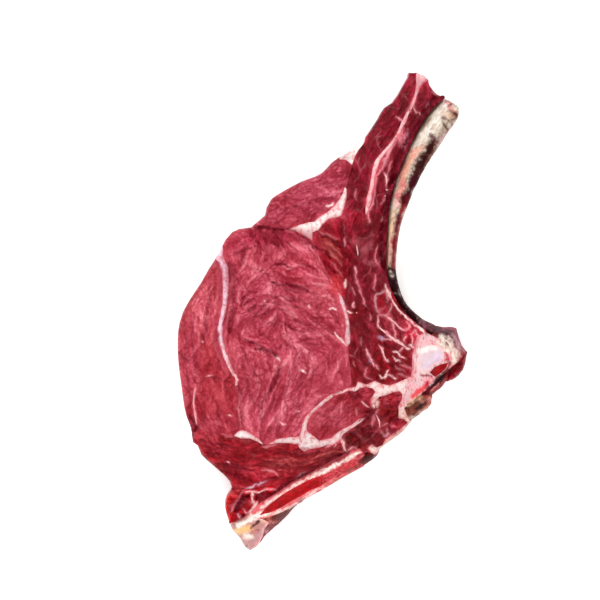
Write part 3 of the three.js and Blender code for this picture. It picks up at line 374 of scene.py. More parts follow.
# creases and folds: width, depth, darkness of the shade painted in them, lines
CREASES = [
    (0.9, 0.5, 0.6, [-39.5, 52.5, -29, 42]), (0.8, 0.5, 0.6, [-35.5, 54, -30, 49, -25, 42]),
    (0.8, 0.5, 0.55, [-24.5, 54, -11, 41.5]), (0.8, 0.4, 0.5, [-19.5, 52.5, -7, 41.5]),
    (0.9, 0.5, 0.6, [-59.5, 36, -55, 39, -46, 42]), (0.8, 0.4, 0.5, [-43.5, 47, -40, 43, -39, 38.5]),
    (1, 0.7, 0.65, [-30.5, 31, -24.5, 30.5, -20, 27.5]),
    (1.3, 0.9, 0.75, [-34.5, 19.5, -27, 17.5, -20, 17.5, -13.5, 15.5, -8.5, 13]),
    (1, 0.6, 0.6, [-26, 14.5, -13, 12.5]), (0.8, 0.5, 0.5, [-17.5, 32.5, -9.5, 30, -2, 26]),
    (0.8, 0.5, 0.6, [-54, 8, -47.5, 11.5], [-52, 4, -44.5, 9], [-49.5, 0, -42, 6]),
    (0.9, 0.6, 0.65, [-46, -4, -37, 4]), (0.8, 0.5, 0.55, [-42, -6.5, -33, 4.5]),
    (0.9, 0.5, 0.55, [-39.5, 2.5, -34.5, 8, -26.5, 10, -20, 6.5]),
    (0.8, 0.5, 0.5, [-33, 6, -24, 5, -15, 2.5]), (0.9, 0.5, 0.55, [-31, -2, -31, -6.5, -32.5, -10.5]),
    (0.9, 0.5, 0.5, [-26.5, -6, -13, -15.5], [-8.5, -4, 8, -15]),
    (1.2, 0.8, 0.7, [-50.5, -18, -39.5, -23, -34.5, -26]),
    (0.8, 0.4, 0.5, [-24.5, -21.5, -17, -24], [-13, -20, -2, -22]),
    (1, 0.6, 0.65, [-27, -32.5, -31, -45.5, -39, -57, -39.5, -65, -41, -70]),
    (0.8, 0.5, 0.5, [-46, -35, -42, -48, -44, -55]),
    (0.8, 0.4, 0.5, [-50, -41, -47.5, -57], [-31, -56, -34.5, -65.5], [-21.5, -35, -22.5, -46, -25, -57]),
    (0.8, 0.4, 0.45, [-14, -26.5, -17, -37.5], [-11, -32.5, -10.5, -41, -17, -52], [-8.5, -40.5,
     -2, -34.5], [4.5, -26, 4, -39]), (1, 0.8, 0.85, [-46, 55, -21.5, 53, -15, 50, -8.5, 45, -4.5, 39]),
    (0.8, 0.5, 0.5, [-5.5, 40.5, -0.5, 28.5, 10, 12.5]), (1, 0.5, 0.45, [-48, 52.5, -44.5, 49, -43.5, 42]),
    (1, 0.5, 0.5, [-41, 53.5, -37, 47, -34.5, 39]), (1, 0.6, 0.55, [-30.5, 53.5, -20.5, 43, -15.5, 39]),
    (1, 0.5, 0.45, [-35.5, 52.5, -27, 41, -24.5, 35]),
    (0.9, 0.5, 0.4, [-21.5, 51.5, -13.5, 46, -8.5, 41, -5, 35]),
    (1, 0.4, 0.4, [-55, 47, -52, 43, -51, 36.5, -54, 30]),
    (0.9, 0.4, 0.35, [-54, 34, -47.5, 28.5, -41, 27.5, -31.5, 22]),
    (1, 0.5, 0.4, [-31.5, 22, -26.5, 17, -16, 14.5, -8.5, 17]),
    (1.2, 0.6, 0.45, [-25, 10, -18.5, 8.5, -7, 4.5]), (0.9, 0.4, 0.35, [-56.5, 21, -50, 14.5, -42, 13]),
    (1, 0.4, 0.35, [-48.5, 1.5, -41, -2.5, -37, -6.5, -26.5, -9]),
    (1, 0.5, 0.4, [-31.5, 2.5, -21.5, 0, -16, -6.5, -8.5, -9]),
    (1, 0.4, 0.4, [-16, -14.5, -8.5, -11.5, -0.5, -14.5, 4.5, -18]),
    (2.3, 1.3, 0.8, [-43.5, -23.5, -34.5, -26, -30, -29]),
    (1.1, 0.6, 0.55, [-26.5, -35, -31.5, -48, -37, -54.5, -40, -62.5, -39.5, -71.5]),
    (1, 0.5, 0.5, [-50, -44, -48.5, -52, -44.5, -59, -40, -62.5]),
    (0.9, 0.4, 0.4, [-21.5, -18, -26.5, -22, -29, -26], [-18.5, -34, -16, -39, -21.5, -47, -26.5, -49.5]),
    (0.9, 0.4, 0.35, [-8.5, -26, -9.5, -35, -3, -41.5], [2, -31, 1, -40.5, 4.5, -47]),
    (0.9, 0.4, 0.4, [-31.5, -65, -29, -73, -34.5, -80.5], [-21.5, -54.5, -16, -60, -15, -69]),
    (0.8, 0.4, 0.35, [-13.5, -24.5, -17.5, -28.5, -15, -34], [-54, -21.5, -50, -27.5, -51, -35,
     -47.5, -43]),
    (0.8, 0.4, 0.3, [-42, -11.5, -37, -17, -30.5, -18, -22.5, -14.5], [-7, 14.5, -3, 8, -4.5, 0, 1, -6.5],
     [4.5, -24.5, 10, -28.5, 11, -36.5]),
    (3.2, 1.4, 0.42, [-60.5, 32.5, -58.5, 22, -58.5, 13, -61, -5, -61, -13]),
    (1.3, 0.8, 0.5, [-55, -47, -54, -54, -54, -62.5, -52.5, -73]),
    (1.2, 0.6, 0.6, [-94, -26, -90, -30, -86.5, -32]),
    (1, 0.4, 0.4, [-77, -2.5, -76, -11.5, -79, -19.5], [-83.5, 0, -85, -18, -82.5, -35, -83, -47],
     [-70.5, 32.5, -73.5, 17.5, -74, 4, -76, -4]), (1, 0.5, 0.5, [-73.5, -42, -59.5, -45.5]),
    (0.9, 0.4, 0.4, [-80, -50.5, -78, -44, -72, -42], [-72, -54.5, -68, -62.5, -69, -73]),
    (0.9, 0.4, 0.35, [-89, -11.5, -89.5, -31, -87, -50.5, -86.5, -65], [-66, -11.5, -70.5, -21.5,
     -68, -32.5, -63, -41.5]), (2, 1.2, 0.9, [-86.5, -68, -83, -75, -84.5, -80.5]),
    (0.9, 0.4, 0.35, [-78, -57, -76.5, -67, -78.5, -76.5]),
    (0.9, 0.3, 0.3, [-26.5, 75, -15, 78, 4.5, 85], [-30.5, 65, -15, 69, -0.5, 74], [-3, 88.5, 3.5, 82,
     14.5, 82]), (1.7, 1.2, 0.8, [0, 49.5, 8.5, 45.5, 12.5, 42]),
    (1.6, 1.1, 0.75, [-5, 42, 2.5, 38.5, 5.5, 35]), (1.3, 0.9, 0.6, [0, 33, 8.5, 25.5]),
    (1.3, 0.8, 0.6, [12, 56, 14.5, 36.5, 14, 26]), (1.2, 0.7, 0.5, [-0.5, 57, 3.5, 53.5, 8.5, 51.5]),
    (1.1, 0.5, 0.5, [19, 95.5, 15.5, 79.5]),
    (0.9, 0.4, 0.35, [23, 91, 20.5, 52], [38.5, 91, 30.5, 56], [17.5, 65, 17, 47, 19, 10.5], [30.5, 48,
     28, 17], [51.5, 132.5, 45, 118.5, 36, 105.5], [45, 126, 37, 112, 28, 100]),
    (0.8, 0.4, 0.35, [66, 144.5, 62, 134, 56.5, 123.5]),
    (2, 1.4, 0.95, [72.5, 140, 58.5, 117.5, 50, 101, 43, 80.5]),
    (2, 1.4, 0.9, [42.5, 79.5, 38.5, 48, 38.5, 36.5, 40, 27.5]), (1, 0.5, 0.5, [19, -4, 21.5, -35]),
    (0.9, 0.4, 0.35, [25.5, 1.5, 27, -11.5, 25.5, -24.5]), (1.2, 0.7, 0.7, [16.5, -52, 22, -56.5]),
    (0.8, 0.3, 0.35, [-7.5, -65.5, 12.5, -69.5]), (0.8, 0.3, 0.3, [-3, -61, 4.5, -63.5, 17.5, -62.5]),
    (1, 0.5, 0.5, [21, -50, 24, -56, 29.5, -60.5]),
    (1.1, 0.6, 0.45, [-80, -83, -65.5, -86.5, -31.5, -91.5, -9.5, -89], [-76, -91.5, -42, -96,
     -26.5, -100, -8.5, -97, 10, -91]), (1, 0.6, 0.45, [-30.5, -88.5, -15, -93, 1, -91, 12.5, -86]),
    (1.2, 0.6, 0.5, [-70, -98, -47.5, -102.5, -39.5, -109]),
    (1, 0.5, 0.4, [-39.5, -109, -25, -106.5, 4.5, -95]),
    (2, 1.2, 1, [-37, -121, -16, -109, -2, -102.5, 17.5, -91.5]), (1.6, 1, 0.7, [-65.5, -102.5, -51, -109]),
    (1.3, 0.9, 0.7, [29.5, -62.5, 28, -67.5, 24, -71.5], [32, -65, 36, -69, 40, -68, 43.5, -64.5]),
    (1.4, 1, 0.7, [49, -73, 45, -70, 43.5, -75.5, 47.5, -79.5], [25.5, -76.5, 30.5, -80.5, 33.5, -86]),
    (1.4, 1, 0.75, [17.5, -78, 23, -82, 24, -88.5]),
    (2.9, 2.2, 0.9, [-56.5, -129.5, -55, -125.5, -52, -121.5, -48.5, -120]),
    (2.6, 1.8, 0.85, [-43, -121.5, -39.5, -119, -35, -119]),
    (1.6, 1, 0.7, [-59, -135, -55, -136.5, -51, -131.5]),
    (3.2, 0.6, 0.75, [31.5, -63, 30.5, -67.5, 29.5, -69.5]), (2, 0.5, 0.8, [40, -60.5, 42.5, -61]),
    (1.6, 0.5, 0.8, [13, -78, 12.5, -83]), (2.6, 0.4, 0.5, [45.5, -70, 50, -71]),
    (3.9, 0.5, 0.5, [29.5, -84, 36, -82]), (2.6, 0.4, 0.55, [34.5, -11.5, 41.5, -15.5]),
    (3.2, 0.4, 0.6, [39, -22, 43.5, -23, 49.5, -22]), (2, 0.4, 0.5, [43, -33, 50, -37.5, 53.5, -42]),
    (1.3, 0.4, 0.6, [43.5, -42, 46.5, -43.5]), (3.2, 0.5, 0.6, [17.5, -9, 19, -14.5]),
    (2, 0.3, 0.45, [19, -23.5, 21.5, -30]), (2.6, 0.3, 0.45, [40.5, 8, 44.5, 6]),
    (2, 0.3, 0.5, [36, 28.5, 39, 23, 40, 16]), (2.6, 0.5, 0.75, [-43, -121, -35.5, -121]),
    (2.6, 0.5, 0.6, [-53, -122, -55, -127.5]), (2, 0.5, 0.7, [-54, -134.5, -52.5, -137]),
    (2.2, 0.6, 0.75, [-29, -115, 4.5, -96, 14.5, -93]), (2, 0.4, 0.6, [65, 132.5, 64, 134.5]),
    (2.2, 0.4, 0.75, [71, 139, 65, 130]), (2.6, 0.6, 0.8, [45.5, -76.5, 47.5, -78.5]),
    (1.3, 0.4, 0.8, [49.5, -75, 50, -76.5]),
]
# raised strings of fat and silver skin: width, lines
STRINGS = [
    (1, [-66, -20, -59.5, -38.5, -57, -42, -55.5, -48]),
    (0.9, [1.5, -84, 11, -81, 14.5, -76.5, 19, -75, 26, -70]),
    (0.8, [12.5, -79.5, 12, -84, 14, -88.5], [41, 17.5, 42.5, 13.5, 47.5, 4, 54, -3], [-82.5, -49,
     -83.5, -53.5, -83.5, -63.5, -82, -73]), (0.9, [40.5, 89.5, 41.5, 87, 41.5, 83]),
    (0.8, [-50.5, -117, -46.5, -116.5, -42, -117.5, -37, -115.5, -32.5, -115]),
    (0.7, [-46, -118.5, -46, -122, -44, -125], [34.5, -66.5, 36.5, -71, 37, -75]),
    (1, [36, -3, 36, -8, 38, -11, 47.5, -19, 55.5, -23.5]), (0.8, [41, -3, 44.5, -5, 51.5, -11.5]),
    (0.7, [36.5, -21.5, 39, -25.5, 40, -29, 41.5, -32]),
    (0.8, [45.5, -26, 49, -26.5, 50, -28.5, 53.5, -30], [36.5, -41, 39, -43, 41.5, -41.5, 41.5, -39],
     [43, -40.5, 47.5, -43]), (0.7, [28, -24.5, 33.5, -35], [25, -58, 29.5, -62]),
    (0.8, [15, 21.5, 14.5, 16], [22, 44, 23, 36.5]),
]
# places of loose crumbs of fat
CRUMBS = [
    (4.5, 2), (7.5, 2), (-9, 4), (-37.5, 7), (-13.5, -37.5), (-11.5, -39), (-15.5, -64.5), (-26, -73),
    (-30, -30), (19.5, 4.5), (-60.5, -67), (-78, -19.5), (-61.5, -97.5), (-74, -41.5), (41.5, 79.5),
    (40.5, 75.5), (22, -0.5), (47.5, -32),
]
# stained, paler or shaded fields: centre, half sizes, turn in degrees, colour, strength
PATCHES = [
    # the first two paint shade: along the eye's top edge, where it curves away, and its left margin
    (-33, 48.8, 29.9, 5.9, 5, "#9a2036", 0.85), (-59, 32.5, 5.9, 22.1, 0, "#9c2338", 0.6),
    (-39.5, 7.8, 16.9, 19.5, 0, "#c05468", 0.3), (-14.8, -21.4, 16.9, 14.3, 0, "#c05468", 0.25),
    (-24.6, -57.2, 26, 23.4, 0, "#bc5264", 0.25), (-14.8, 32.5, 13, 16.9, -30, "#b93c50", 0.45),
    (4.7, -31.2, 10.4, 19.5, 0, "#bd4a5c", 0.4), (-43.4, -73.5, 11.7, 9.1, 0, "#b84456", 0.5),
    (-39.5, -22.1, 16.9, 7.8, -10, "#b63c50", 0.45), (-76.6, 1.3, 9.1, 19.5, -10, "#d0606f", 0.5),
    (-86.3, -31.2, 7.8, 26, 0, "#c9586c", 0.3), (-72, -73.5, 14.3, 7.8, 0, "#a93a4a", 0.5),
    (-1.8, 76, 18.2, 13, 30, "#bb5068", 0.4), (-31.1, 63.1, 9.1, 5.2, 40, "#a63c50", 0.5),
    (9.9, 97.5, 10.4, 3.9, 30, "#9c2c40", 0.5), (4.7, 42.9, 5.2, 9.1, 30, "#8c3028", 0.5),
    (7.3, 58.5, 4.5, 3.9, 0, "#a01c30", 0.7), (8.6, 17.6, 5.2, 6.5, 0, "#c03038", 0.6),
    (21.6, 61.1, 9.1, 4.5, 0, "#a3142c", 0.7), (17.7, 46.8, 3.2, 19.5, 0, "#a01c30", 0.5),
    (63.2, 146.9, 7.8, 6.5, 0, "#a0182e", 0.5), (52.8, 111.8, 2.6, 5.9, -20, "#c8788c", 0.6),
    (42.4, 98.8, 2.3, 7.8, -25, "#b23a4c", 0.5), (58, -13, 4.5, 7.8, 25, "#c81c38", 0.75),
    (46.9, -8.5, 13, 11.7, 0, "#8c2534", 0.4), (39.1, -16.9, 2.6, 2, 0, "#b090a8", 0.4),
    (31.3, -32.5, 2, 2, 0, "#a87890", 0.35), (28.1, -18.2, 6.5, 26, 0, "#7d1c2c", 0.45),
    (4.7, -68.2, 14.3, 9.1, 25, "#b84a5c", 0.35), (28.1, -54.6, 5.2, 4.5, 0, "#a02c3e", 0.5),
    (33.9, -58.5, 2.6, 3.9, 0, "#d8a0a4", 0.55), (-14.8, -96.2, 32.5, 5.9, 12, "#8e3436", 0.5),
    (11.2, -93, 14.3, 5.9, 30, "#70201f", 0.6), (-57.7, -101.4, 11.1, 5.2, -15, "#6e0c18", 0.75),
    (-40.8, -105.3, 9.1, 4.5, 0, "#b01c30", 0.55), (-70.1, -86.5, 11.7, 5.2, -20, "#8a2430", 0.5),
    (45, -57.2, 9.1, 5.2, 0, "#b02034", 0.5), (32, -75.4, 13, 10.4, 0, "#6e1420", 0.55),
    (48.2, -74.1, 5.2, 5.2, 0, "#a01428", 0.5), (-53.8, -127.4, 6.5, 7.8, -20, "#7c0c1c", 0.6),
    (-39.5, -120.2, 7.8, 3.2, 10, "#6c0c1a", 0.5), (-56.4, -117, 7.8, 3.9, 0, "#8c2a34", 0.6),
]

SLICE_HEIGHT = 12.0  # where a piece's plan is read from its solid
SLICE_HEIGHTS = {"rib_bone": 18.0}  # the rib is widest here
SEAM_CLOSING = 0.24  # plans grow by this, so that neighbours meet
SOFTENING_REACH = 12  # a tangle that reaches this many points is smoothed out
SEAM_CALM = 0.9  # relief fades out this near to a seam
RIB_LIP = 1.1  # how far the meat laps over the rib's rounded edge
SEAM_RIM = 0.06  # rounding of an edge inside the steak
# muscles that are grown together, with no seam to be seen
ONE_MASS = ("rib_muscle_outer", "rib_muscle_inner", "chine_muscle")
SLOPING_DOME = 4.0  # a piece with a higher dome only slopes down towards the outside
OUTER_DISTANCE = 1.2  # an edge farther than this from any other piece is the steak's outside
LIP_THICKNESS = 0.08  # of the steak's height
WALL_RINGS = 22  # rows of points down a side wall
WALL_BULGE = 0.5  # how far the outer wall swells out at half height
WALL_RIPPLE = 0.35
LUMPS = 0.35  # height of the cut face's unevenness
# strength of the painted shade along seams between muscles
SEAM_SHADE = 0.3
WALL_CALM = 7.0  # stains keep to their lines this far down, and stray below
WALL_STRAY = 14.0
HALO = 0.8  # reach of the pale flesh round marbling
HALO_STRENGTH = 0.3
PATCH_RAGGEDNESS = 0.25  # share of its size by which a patch's edge strays
GRISTLE_RIM = 1.3
CREASE_WIDTH = 1.2  # a crease's soft sides are this much wider than its line
CREASE_DEPTH = 1.4  # sink in millimetres for a depth of 1
WALL_CREASE = 0.3  # share of its painted shade that a crease keeps on the side walls
FAT_FLATNESS = 0.6  # how far fat fills the relief of the fibres
LIGHTEST = 0.98
WANDER = 1.0  # how far stains, streaks and creases stray from their lines
TAPER = 4.0  # a streak or crease thins out over this length at each end
TIP_WIDTH = 0.35  # share of its width that is left at the tip


# ---- settings that a user would change ----

def hex_colour(text):
    """sRGB hex text as linear red, green, blue."""
    parts = [int(text[i:i + 2], 16) / 255 for i in (1, 3, 5)]
    return tuple(p / 12.92 if p <= 0.04045 else ((p + 0.055) / 1.055) ** 2.4 for p in parts)


def colour_setting(name, text, description):
    return bpy.props.FloatVectorProperty(
        name=name, description=description, default=hex_colour(text),
        subtype="COLOR", size=3, min=0.0, max=1.0)


def length_setting(name, value, description):
    return bpy.props.FloatProperty(
        name=name, description=description, default=value * MM,
        subtype="DISTANCE", unit="LENGTH", min=0.0)


class SteakColours(bpy.types.PropertyGroup):
    """Colours shared by the steak's tissues"""
    # painted shade at the bottom of folds, creases and seams in the meat
    crease: colour_setting("Crease", "#560818", "Bottom of folds and creases in the meat")
    floor: colour_setting("Floor", "#fbfbfb", "Plain floor under the steak")


class SteakSizes(bpy.types.PropertyGroup):
    """Sizes of the steak's texture"""
    cut_spacing: length_setting("Cut face spacing", 0.42, "Mesh spacing on the cut face")
    base_spacing: length_setting("Underside spacing", 1.3, "Mesh spacing on the underside")
    string_step: length_setting("String step", 0.4, "Mesh spacing along strings of fat")
    string_stray: length_setting("String stray", 0.9, "How far strings of fat stray sideways")
    crumb_length: length_setting("Crumb length", 1.6, "Length of the largest crumbs of fat")


# ---- plane geometry ----

BATCH = 4096  # points that are measured at once


def plan_outlines(node):
    """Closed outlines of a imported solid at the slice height, in millimetres.

    The outer one runs anticlockwise and those of holes run clockwise.
    """
    mesh = bmesh.new()
    mesh.from_mesh(frame["nodes"][node].data)
    bmesh.ops.remove_doubles(mesh, verts=mesh.verts, dist=1e-6)
    cut = bmesh.ops.bisect_plane(
        mesh, geom=mesh.verts[:] + mesh.edges[:] + mesh.faces[:],
        plane_co=(0, 0, SLICE_HEIGHTS.get(node, SLICE_HEIGHT) * MM), plane_no=(0, 0, 1))
    neighbours = {}
    for edge in cut["geom_cut"]:
        if isinstance(edge, bmesh.types.BMEdge):
            a, b = edge.verts
            neighbours.setdefault(a, []).append(b)
            neighbours.setdefault(b, []).append(a)
    unused = dict.fromkeys(neighbours)
    outlines = []
    while unused:
        start = next(iter(unused))
        before, here = None, start
        places = []
        while not places or here is not start:
            unused.pop(here, None)
            places.append((here.co.x, here.co.y))
            following = [v for v in neighbours[here] if v is not before]
            before, here = here, following[0]
        outlines.append(np.array(places) / MM)
    mesh.free()
    outlines.sort(key=lambda line: -abs(signed_area(line)))
    return [line if (signed_area(line) > 0) == (i == 0) else line[::-1]
            for i, line in enumerate(outlines)]


def signed_area(line):
    """Area of a closed line, positive if it runs anticlockwise."""
    x, y = line.T
    return np.sum(x * np.roll(y, -1) - np.roll(x, -1) * y) / 2


def run_along(path):
    """Length of the path up to each of its points."""
    return np.concatenate([[0], np.cumsum(np.hypot(*np.diff(path, axis=0).T))])


def places_on(path, runs):
    """Points of the path at these lengths along it."""
    return np.column_stack([np.interp(runs, run_along(path), path[:, k]) for k in (0, 1)])


def evenly_spaced(line, step, closed):
    """The same line with points a step apart."""
    path = np.vstack([line, line[:1]]) if closed else np.asarray(line, float)
    length = run_along(path)[-1]
    count = max(3, int(round(length / step)))
    return places_on(path, np.linspace(0, length, count + 1)[: count if closed else count + 1])


def side_normals(outline):
    """Unit normals that point out of an anticlockwise outline."""
    along = np.roll(outline, -1, axis=0) - np.roll(outline, 1, axis=0)
    along /= np.maximum(np.hypot(*along.T), 1e-9)[:, None]
    return np.column_stack([along[:, 1], -along[:, 0]])


def nearest_on_line(points, line, closed=False):
    """For each point: distance to the line, run along it and signed side."""
    start = np.asarray(line, float)
    end = np.roll(start, -1, axis=0)
    if not closed:
        start, end = start[:-1], end[:-1]
    step = end - start
    length = np.maximum(np.hypot(*step.T), 1e-9)
    unit = step / length[:, None]
    run = np.concatenate([[0], np.cumsum(length)[:-1]])
    distance, along, side = np.empty((3, len(points)))
    for low in range(0, len(points), BATCH):
        batch = slice(low, low + BATCH)
        offset = points[batch, None, :] - start[None]
        t = np.clip((offset * unit[None]).sum(2), 0, length)
        gap = np.hypot(offset[..., 0] - t * unit[:, 0], offset[..., 1] - t * unit[:, 1])
        best = gap.argmin(1)
        rows = np.arange(len(best))
        cross = unit[best, 0] * offset[rows, best, 1] - unit[best, 1] * offset[rows, best, 0]
        distance[batch] = gap[rows, best]
        along[batch] = run[best] + t[rows, best]
        side[batch] = np.sign(cross)
    return distance, along, side


def is_inside(points, outline):
    """Which points lie inside a closed outline."""
    x, y = points[:, :1], points[:, 1:]
    ax, ay = outline.T
    bx, by = np.roll(outline, -1, axis=0).T
    inside = np.zeros(len(points), bool)
    for low in range(0, len(points), BATCH):
        batch = slice(low, low + BATCH)
        px, py = x[batch], y[batch]
        straddles = (ay > py) != (by > py)
        crossing = px < (bx - ax) * (py - ay) / np.where(by == ay, 1, by - ay) + ax
        inside[batch] = (straddles & crossing).sum(1) % 2 == 1
    return inside


# ---- smooth noise in the plane ----

def lattice(ix, iy, seed):
    """Repeatable number from 0 to 1 at each whole-number place."""
    h = (ix * 374761393 + iy * 668265263 + seed * 974634777) & 0xFFFFFFFF
    h = ((h ^ (h >> 13)) * 1274126177) & 0xFFFFFFFF
    return ((h ^ (h >> 16)) & 0xFFFF) / 65535.0


def noise(x, y, size, seed, octaves=3):
    """Smooth noise from -1 to 1 whose largest lumps are a size across, in millimetres."""
    total = np.zeros(len(x))
    weight, weights = 1.0, 0.0
    for octave in range(octaves):
        u = x / size * 2 ** octave
        v = y / size * 2 ** octave
        iu, iv = np.floor(u).astype(np.int64), np.floor(v).astype(np.int64)
        fu, fv = u - iu, v - iv
        su, sv = fu * fu * (3 - 2 * fu), fv * fv * (3 - 2 * fv)
        s = seed + 17 * octave
        low = lattice(iu, iv, s) * (1 - su) + lattice(iu + 1, iv, s) * su
        high = lattice(iu, iv + 1, s) * (1 - su) + lattice(iu + 1, iv + 1, s) * su
        total += weight * ((low * (1 - sv) + high * sv) * 2 - 1)
        weights += weight
        weight *= 0.5
    return total / weights


# ---- building one column of tissue ----

GRID_GAP = 0.6  # spacings that are free of grid points along a border
FOOT_RIM = 3.0  # largest rounding at the underside
TANGLE = 3  # points on each side of a crossing that are drawn back at first


def swelling(distance, reach):
    """Rise from 0 at an edge to 1 at a reach in from it."""
    t = np.minimum(1, distance / reach)
    return t * (2 - t)


def rounding(distance, radius):
    """How far a rounded rim has dropped at a distance in from the edge."""
    t = np.clip(1 - distance / radius, 0, 1)
    return radius * (1 - np.sqrt(1 - t * t))


def triangulated(borders, spacing):
    """Even triangles between borders: points, faces, with the borders' points first."""
    outer, holes = borders[0], borders[1:]
    low, high = outer.min(0), outer.max(0)
    rows = np.arange(low[1], high[1], spacing * math.sqrt(3) / 2)
    columns = np.arange(low[0], high[0], spacing)
    shift = (np.arange(len(rows)) % 2) * spacing / 2
    grid = np.stack([
        (columns[None] + shift[:, None]).ravel(), np.repeat(rows, len(columns))], axis=1)
    grid = grid[is_inside(grid, outer)]
    for hole in holes:
        grid = grid[~is_inside(grid, hole)]
    edge = np.vstack(borders)
    grid = grid[cloud_distance(grid, edge) > GRID_GAP * spacing]
    points = np.vstack([edge, grid])
    loops, first = [], 0
    for border in borders:
        loops.append(list(range(first, first + len(border))))
        first += len(border)
    _, _, faces, origin, _, _ = delaunay_2d_cdt([Vector(p) for p in points], [], loops, 1, 1e-6)
    if len(origin) > len(points):
        raise ValueError("a border crosses itself")
    faces = np.array([o[0] for o in origin])[np.array(faces)]
    middles = points[faces].mean(1)
    for hole in holes:
        keep = ~is_inside(middles, hole)
        faces, middles = faces[keep], middles[keep]
    return points, faces


def crossings(border):
    """Indices of the border's segments that cross another one."""
    start, end = border, np.roll(border, -1, axis=0)

    def side(p, q, r):
        return np.sign((q[..., 0] - p[..., 0]) * (r[..., 1] - p[..., 1])
                       - (q[..., 1] - p[..., 1]) * (r[..., 0] - p[..., 0]))

    a, b, c, d = start[:, None], end[:, None], start[None], end[None]
    crossed = (side(a, b, c) * side(a, b, d) < 0) & (side(c, d, a) * side(c, d, b) < 0)
    return np.nonzero(crossed.any(1))[0]


def grown_border(outline, others, spacing, rib):
    """Border of the mesh, grown at the seams: points, outward normals, outside, lip."""
    plain = evenly_spaced(outline, spacing, closed=True)
    outside = cloud_distance(plain, others) > OUTER_DISTANCE
    normals = side_normals(plain)
    for _ in range(3):
        normals = normals + np.roll(normals, 1, axis=0) + np.roll(normals, -1, axis=0)
        normals /= np.maximum(np.hypot(*normals.T), 1e-9)[:, None]
    lip = RIB_LIP * np.clip(2 * OUTER_DISTANCE - cloud_distance(plain, rib), 0, 1)
    for _ in range(12):
        lip = softened(lip[:, None])[:, 0]
    growth = np.where(outside, 0, SEAM_CLOSING) + lip
    border = plain + normals * growth[:, None]
    tangled = crossings(border)
    reach = TANGLE
    while len(tangled):
        near = np.unique((tangled[:, None] + np.arange(-reach, reach + 2)) % len(growth))
        growth[near] *= 0.5
        if reach > SOFTENING_REACH:
            plain[near] = softened(plain)[near]
        border = plain + normals * growth[:, None]
        tangled = crossings(border)
        reach += 1
    return border, normals, outside, np.minimum(lip, growth)


def softened(loop):
    """Closed loop with each point drawn towards its two neighbours."""
    return (np.roll(loop, 1, axis=0) + 2 * loop + np.roll(loop, -1, axis=0)) / 4


Column = namedtuple("Column", "points faces plan zone inner outer sharp")
TOP, SIDE, UNDER = 0, 1, 2
FAR = 99.0


def tissue_column(node, spec, outlines, sizes):
    """Closed mesh of one piece: cut face, rounded rims, sides and underside."""
    spacing = sizes.cut_spacing / MM
    others = np.vstack([dense_outline(name) for name in outlines if name != node])
    rib = dense_outline("rib_bone") if spec.finish in MEATS else np.empty((0, 2))
    grown = [grown_border(o, others, spacing, rib) for o in outlines[node]]
    borders = [g[0] for g in grown]
    border = np.vstack(borders)
    normals = np.vstack([g[1] for g in grown])
    outside = np.concatenate([g[2] for g in grown])
    lip = np.concatenate([g[3] for g in grown])

    def edge_distances(points):
        return cloud_distance(points, border[~outside]), cloud_distance(points, border[outside])

    top_plan, top_faces = triangulated(borders, spacing)
    low_plan, low_faces = triangulated(borders, max(spacing, sizes.base_spacing / MM))
    top_inner, top_outer = edge_distances(top_plan)
    low_inner, low_outer = edge_distances(low_plan)
    sloping = spec.dome > SLOPING_DOME
    if node in ONE_MASS:
        edge = cloud_distance(top_plan, mass_edge())
    else:
        edge = top_outer if sloping else np.minimum(top_inner, top_outer)
    x, y = top_plan.T
    height = spec.top + spec.dome * swelling(edge, spec.reach)
    height -= rounding(top_outer, spec.rim) + rounding(top_inner, SEAM_RIM)
    height += LUMPS * noise(x, y, 14, 3) * np.minimum(1, top_outer / 3)
    foot = rounding(low_outer, min(spec.rim, FOOT_RIM)) + rounding(low_inner, SEAM_RIM)

    count = len(border)
    levels = np.linspace(0, 1, WALL_RINGS + 2)[1:-1]
    ring_points = []
    for level in levels:
        z = height[:count] * (1 - level) + foot[:count] * level
        ripple = WALL_RIPPLE * noise(border[:, 0] + border[:, 1], z, 6, 11)
        push = np.where(outside, (WALL_BULGE + ripple) * math.sin(math.pi * level), 0)
        push -= lip * min(1, level / LIP_THICKNESS)
        ring_points.append(np.column_stack([border + normals * push[:, None], z]))
    points = np.vstack([
        np.column_stack([top_plan, height]),
        np.column_stack([low_plan, foot]),
        *ring_points])
    low_start = len(top_plan)
    ring_start = low_start + len(low_plan)
    following = np.concatenate([
        start + np.roll(np.arange(len(b)), -1)
        for start, b in zip(np.cumsum([0] + [len(b) for b in borders]), borders)])
    starts = [0, *(ring_start + k * count for k in range(WALL_RINGS)), low_start]
    sides = []
    here = np.arange(count)
    for upper, lower in zip(starts[:-1], starts[1:]):
        sides.append(np.column_stack([upper + here, lower + here, lower + following]))
        sides.append(np.column_stack([upper + here, lower + following, upper + following]))
    faces = np.vstack([top_faces, low_faces[:, ::-1] + low_start, *sides])
    walls = WALL_RINGS * count
    zone = np.concatenate([
        np.full(len(top_plan), TOP), np.full(len(low_plan), UNDER), np.full(walls, SIDE)])
    inner = np.concatenate([top_inner, low_inner, np.zeros(walls)])
    wall_outer = np.where(outside, 0.0, FAR)
    outer = np.concatenate([top_outer, low_outer, np.tile(wall_outer, WALL_RINGS)])
    sharp = np.zeros(len(points), bool)
    for start in (0, low_start):
        sharp[start:start + count] = ~outside
    return Column(points, faces, points[:, :2].copy(), zone, inner, outer, sharp)


def mass_edge():
    """Points along the outside of the muscles that are grown together."""
    kept = []
    for node in ONE_MASS:
        points = dense_outline(node)
        rest = np.vstack([dense_outline(name) for name in ONE_MASS if name != node])
        kept.append(points[cloud_distance(points, rest) > OUTER_DISTANCE])
    return np.vstack(kept)


def cloud_distance(points, cloud):
    """Distance from each point to the nearest point of a cloud, in the plane."""
    if not len(cloud):
        return np.full(len(points), FAR)
    tree = KDTree(len(cloud))
    for index, (x, y) in enumerate(cloud.tolist()):
        tree.insert((x, y, 0), index)
    tree.balance()
    return np.array([tree.find((x, y, 0))[2] for x, y in points.tolist()])


# ---- painting a column ----

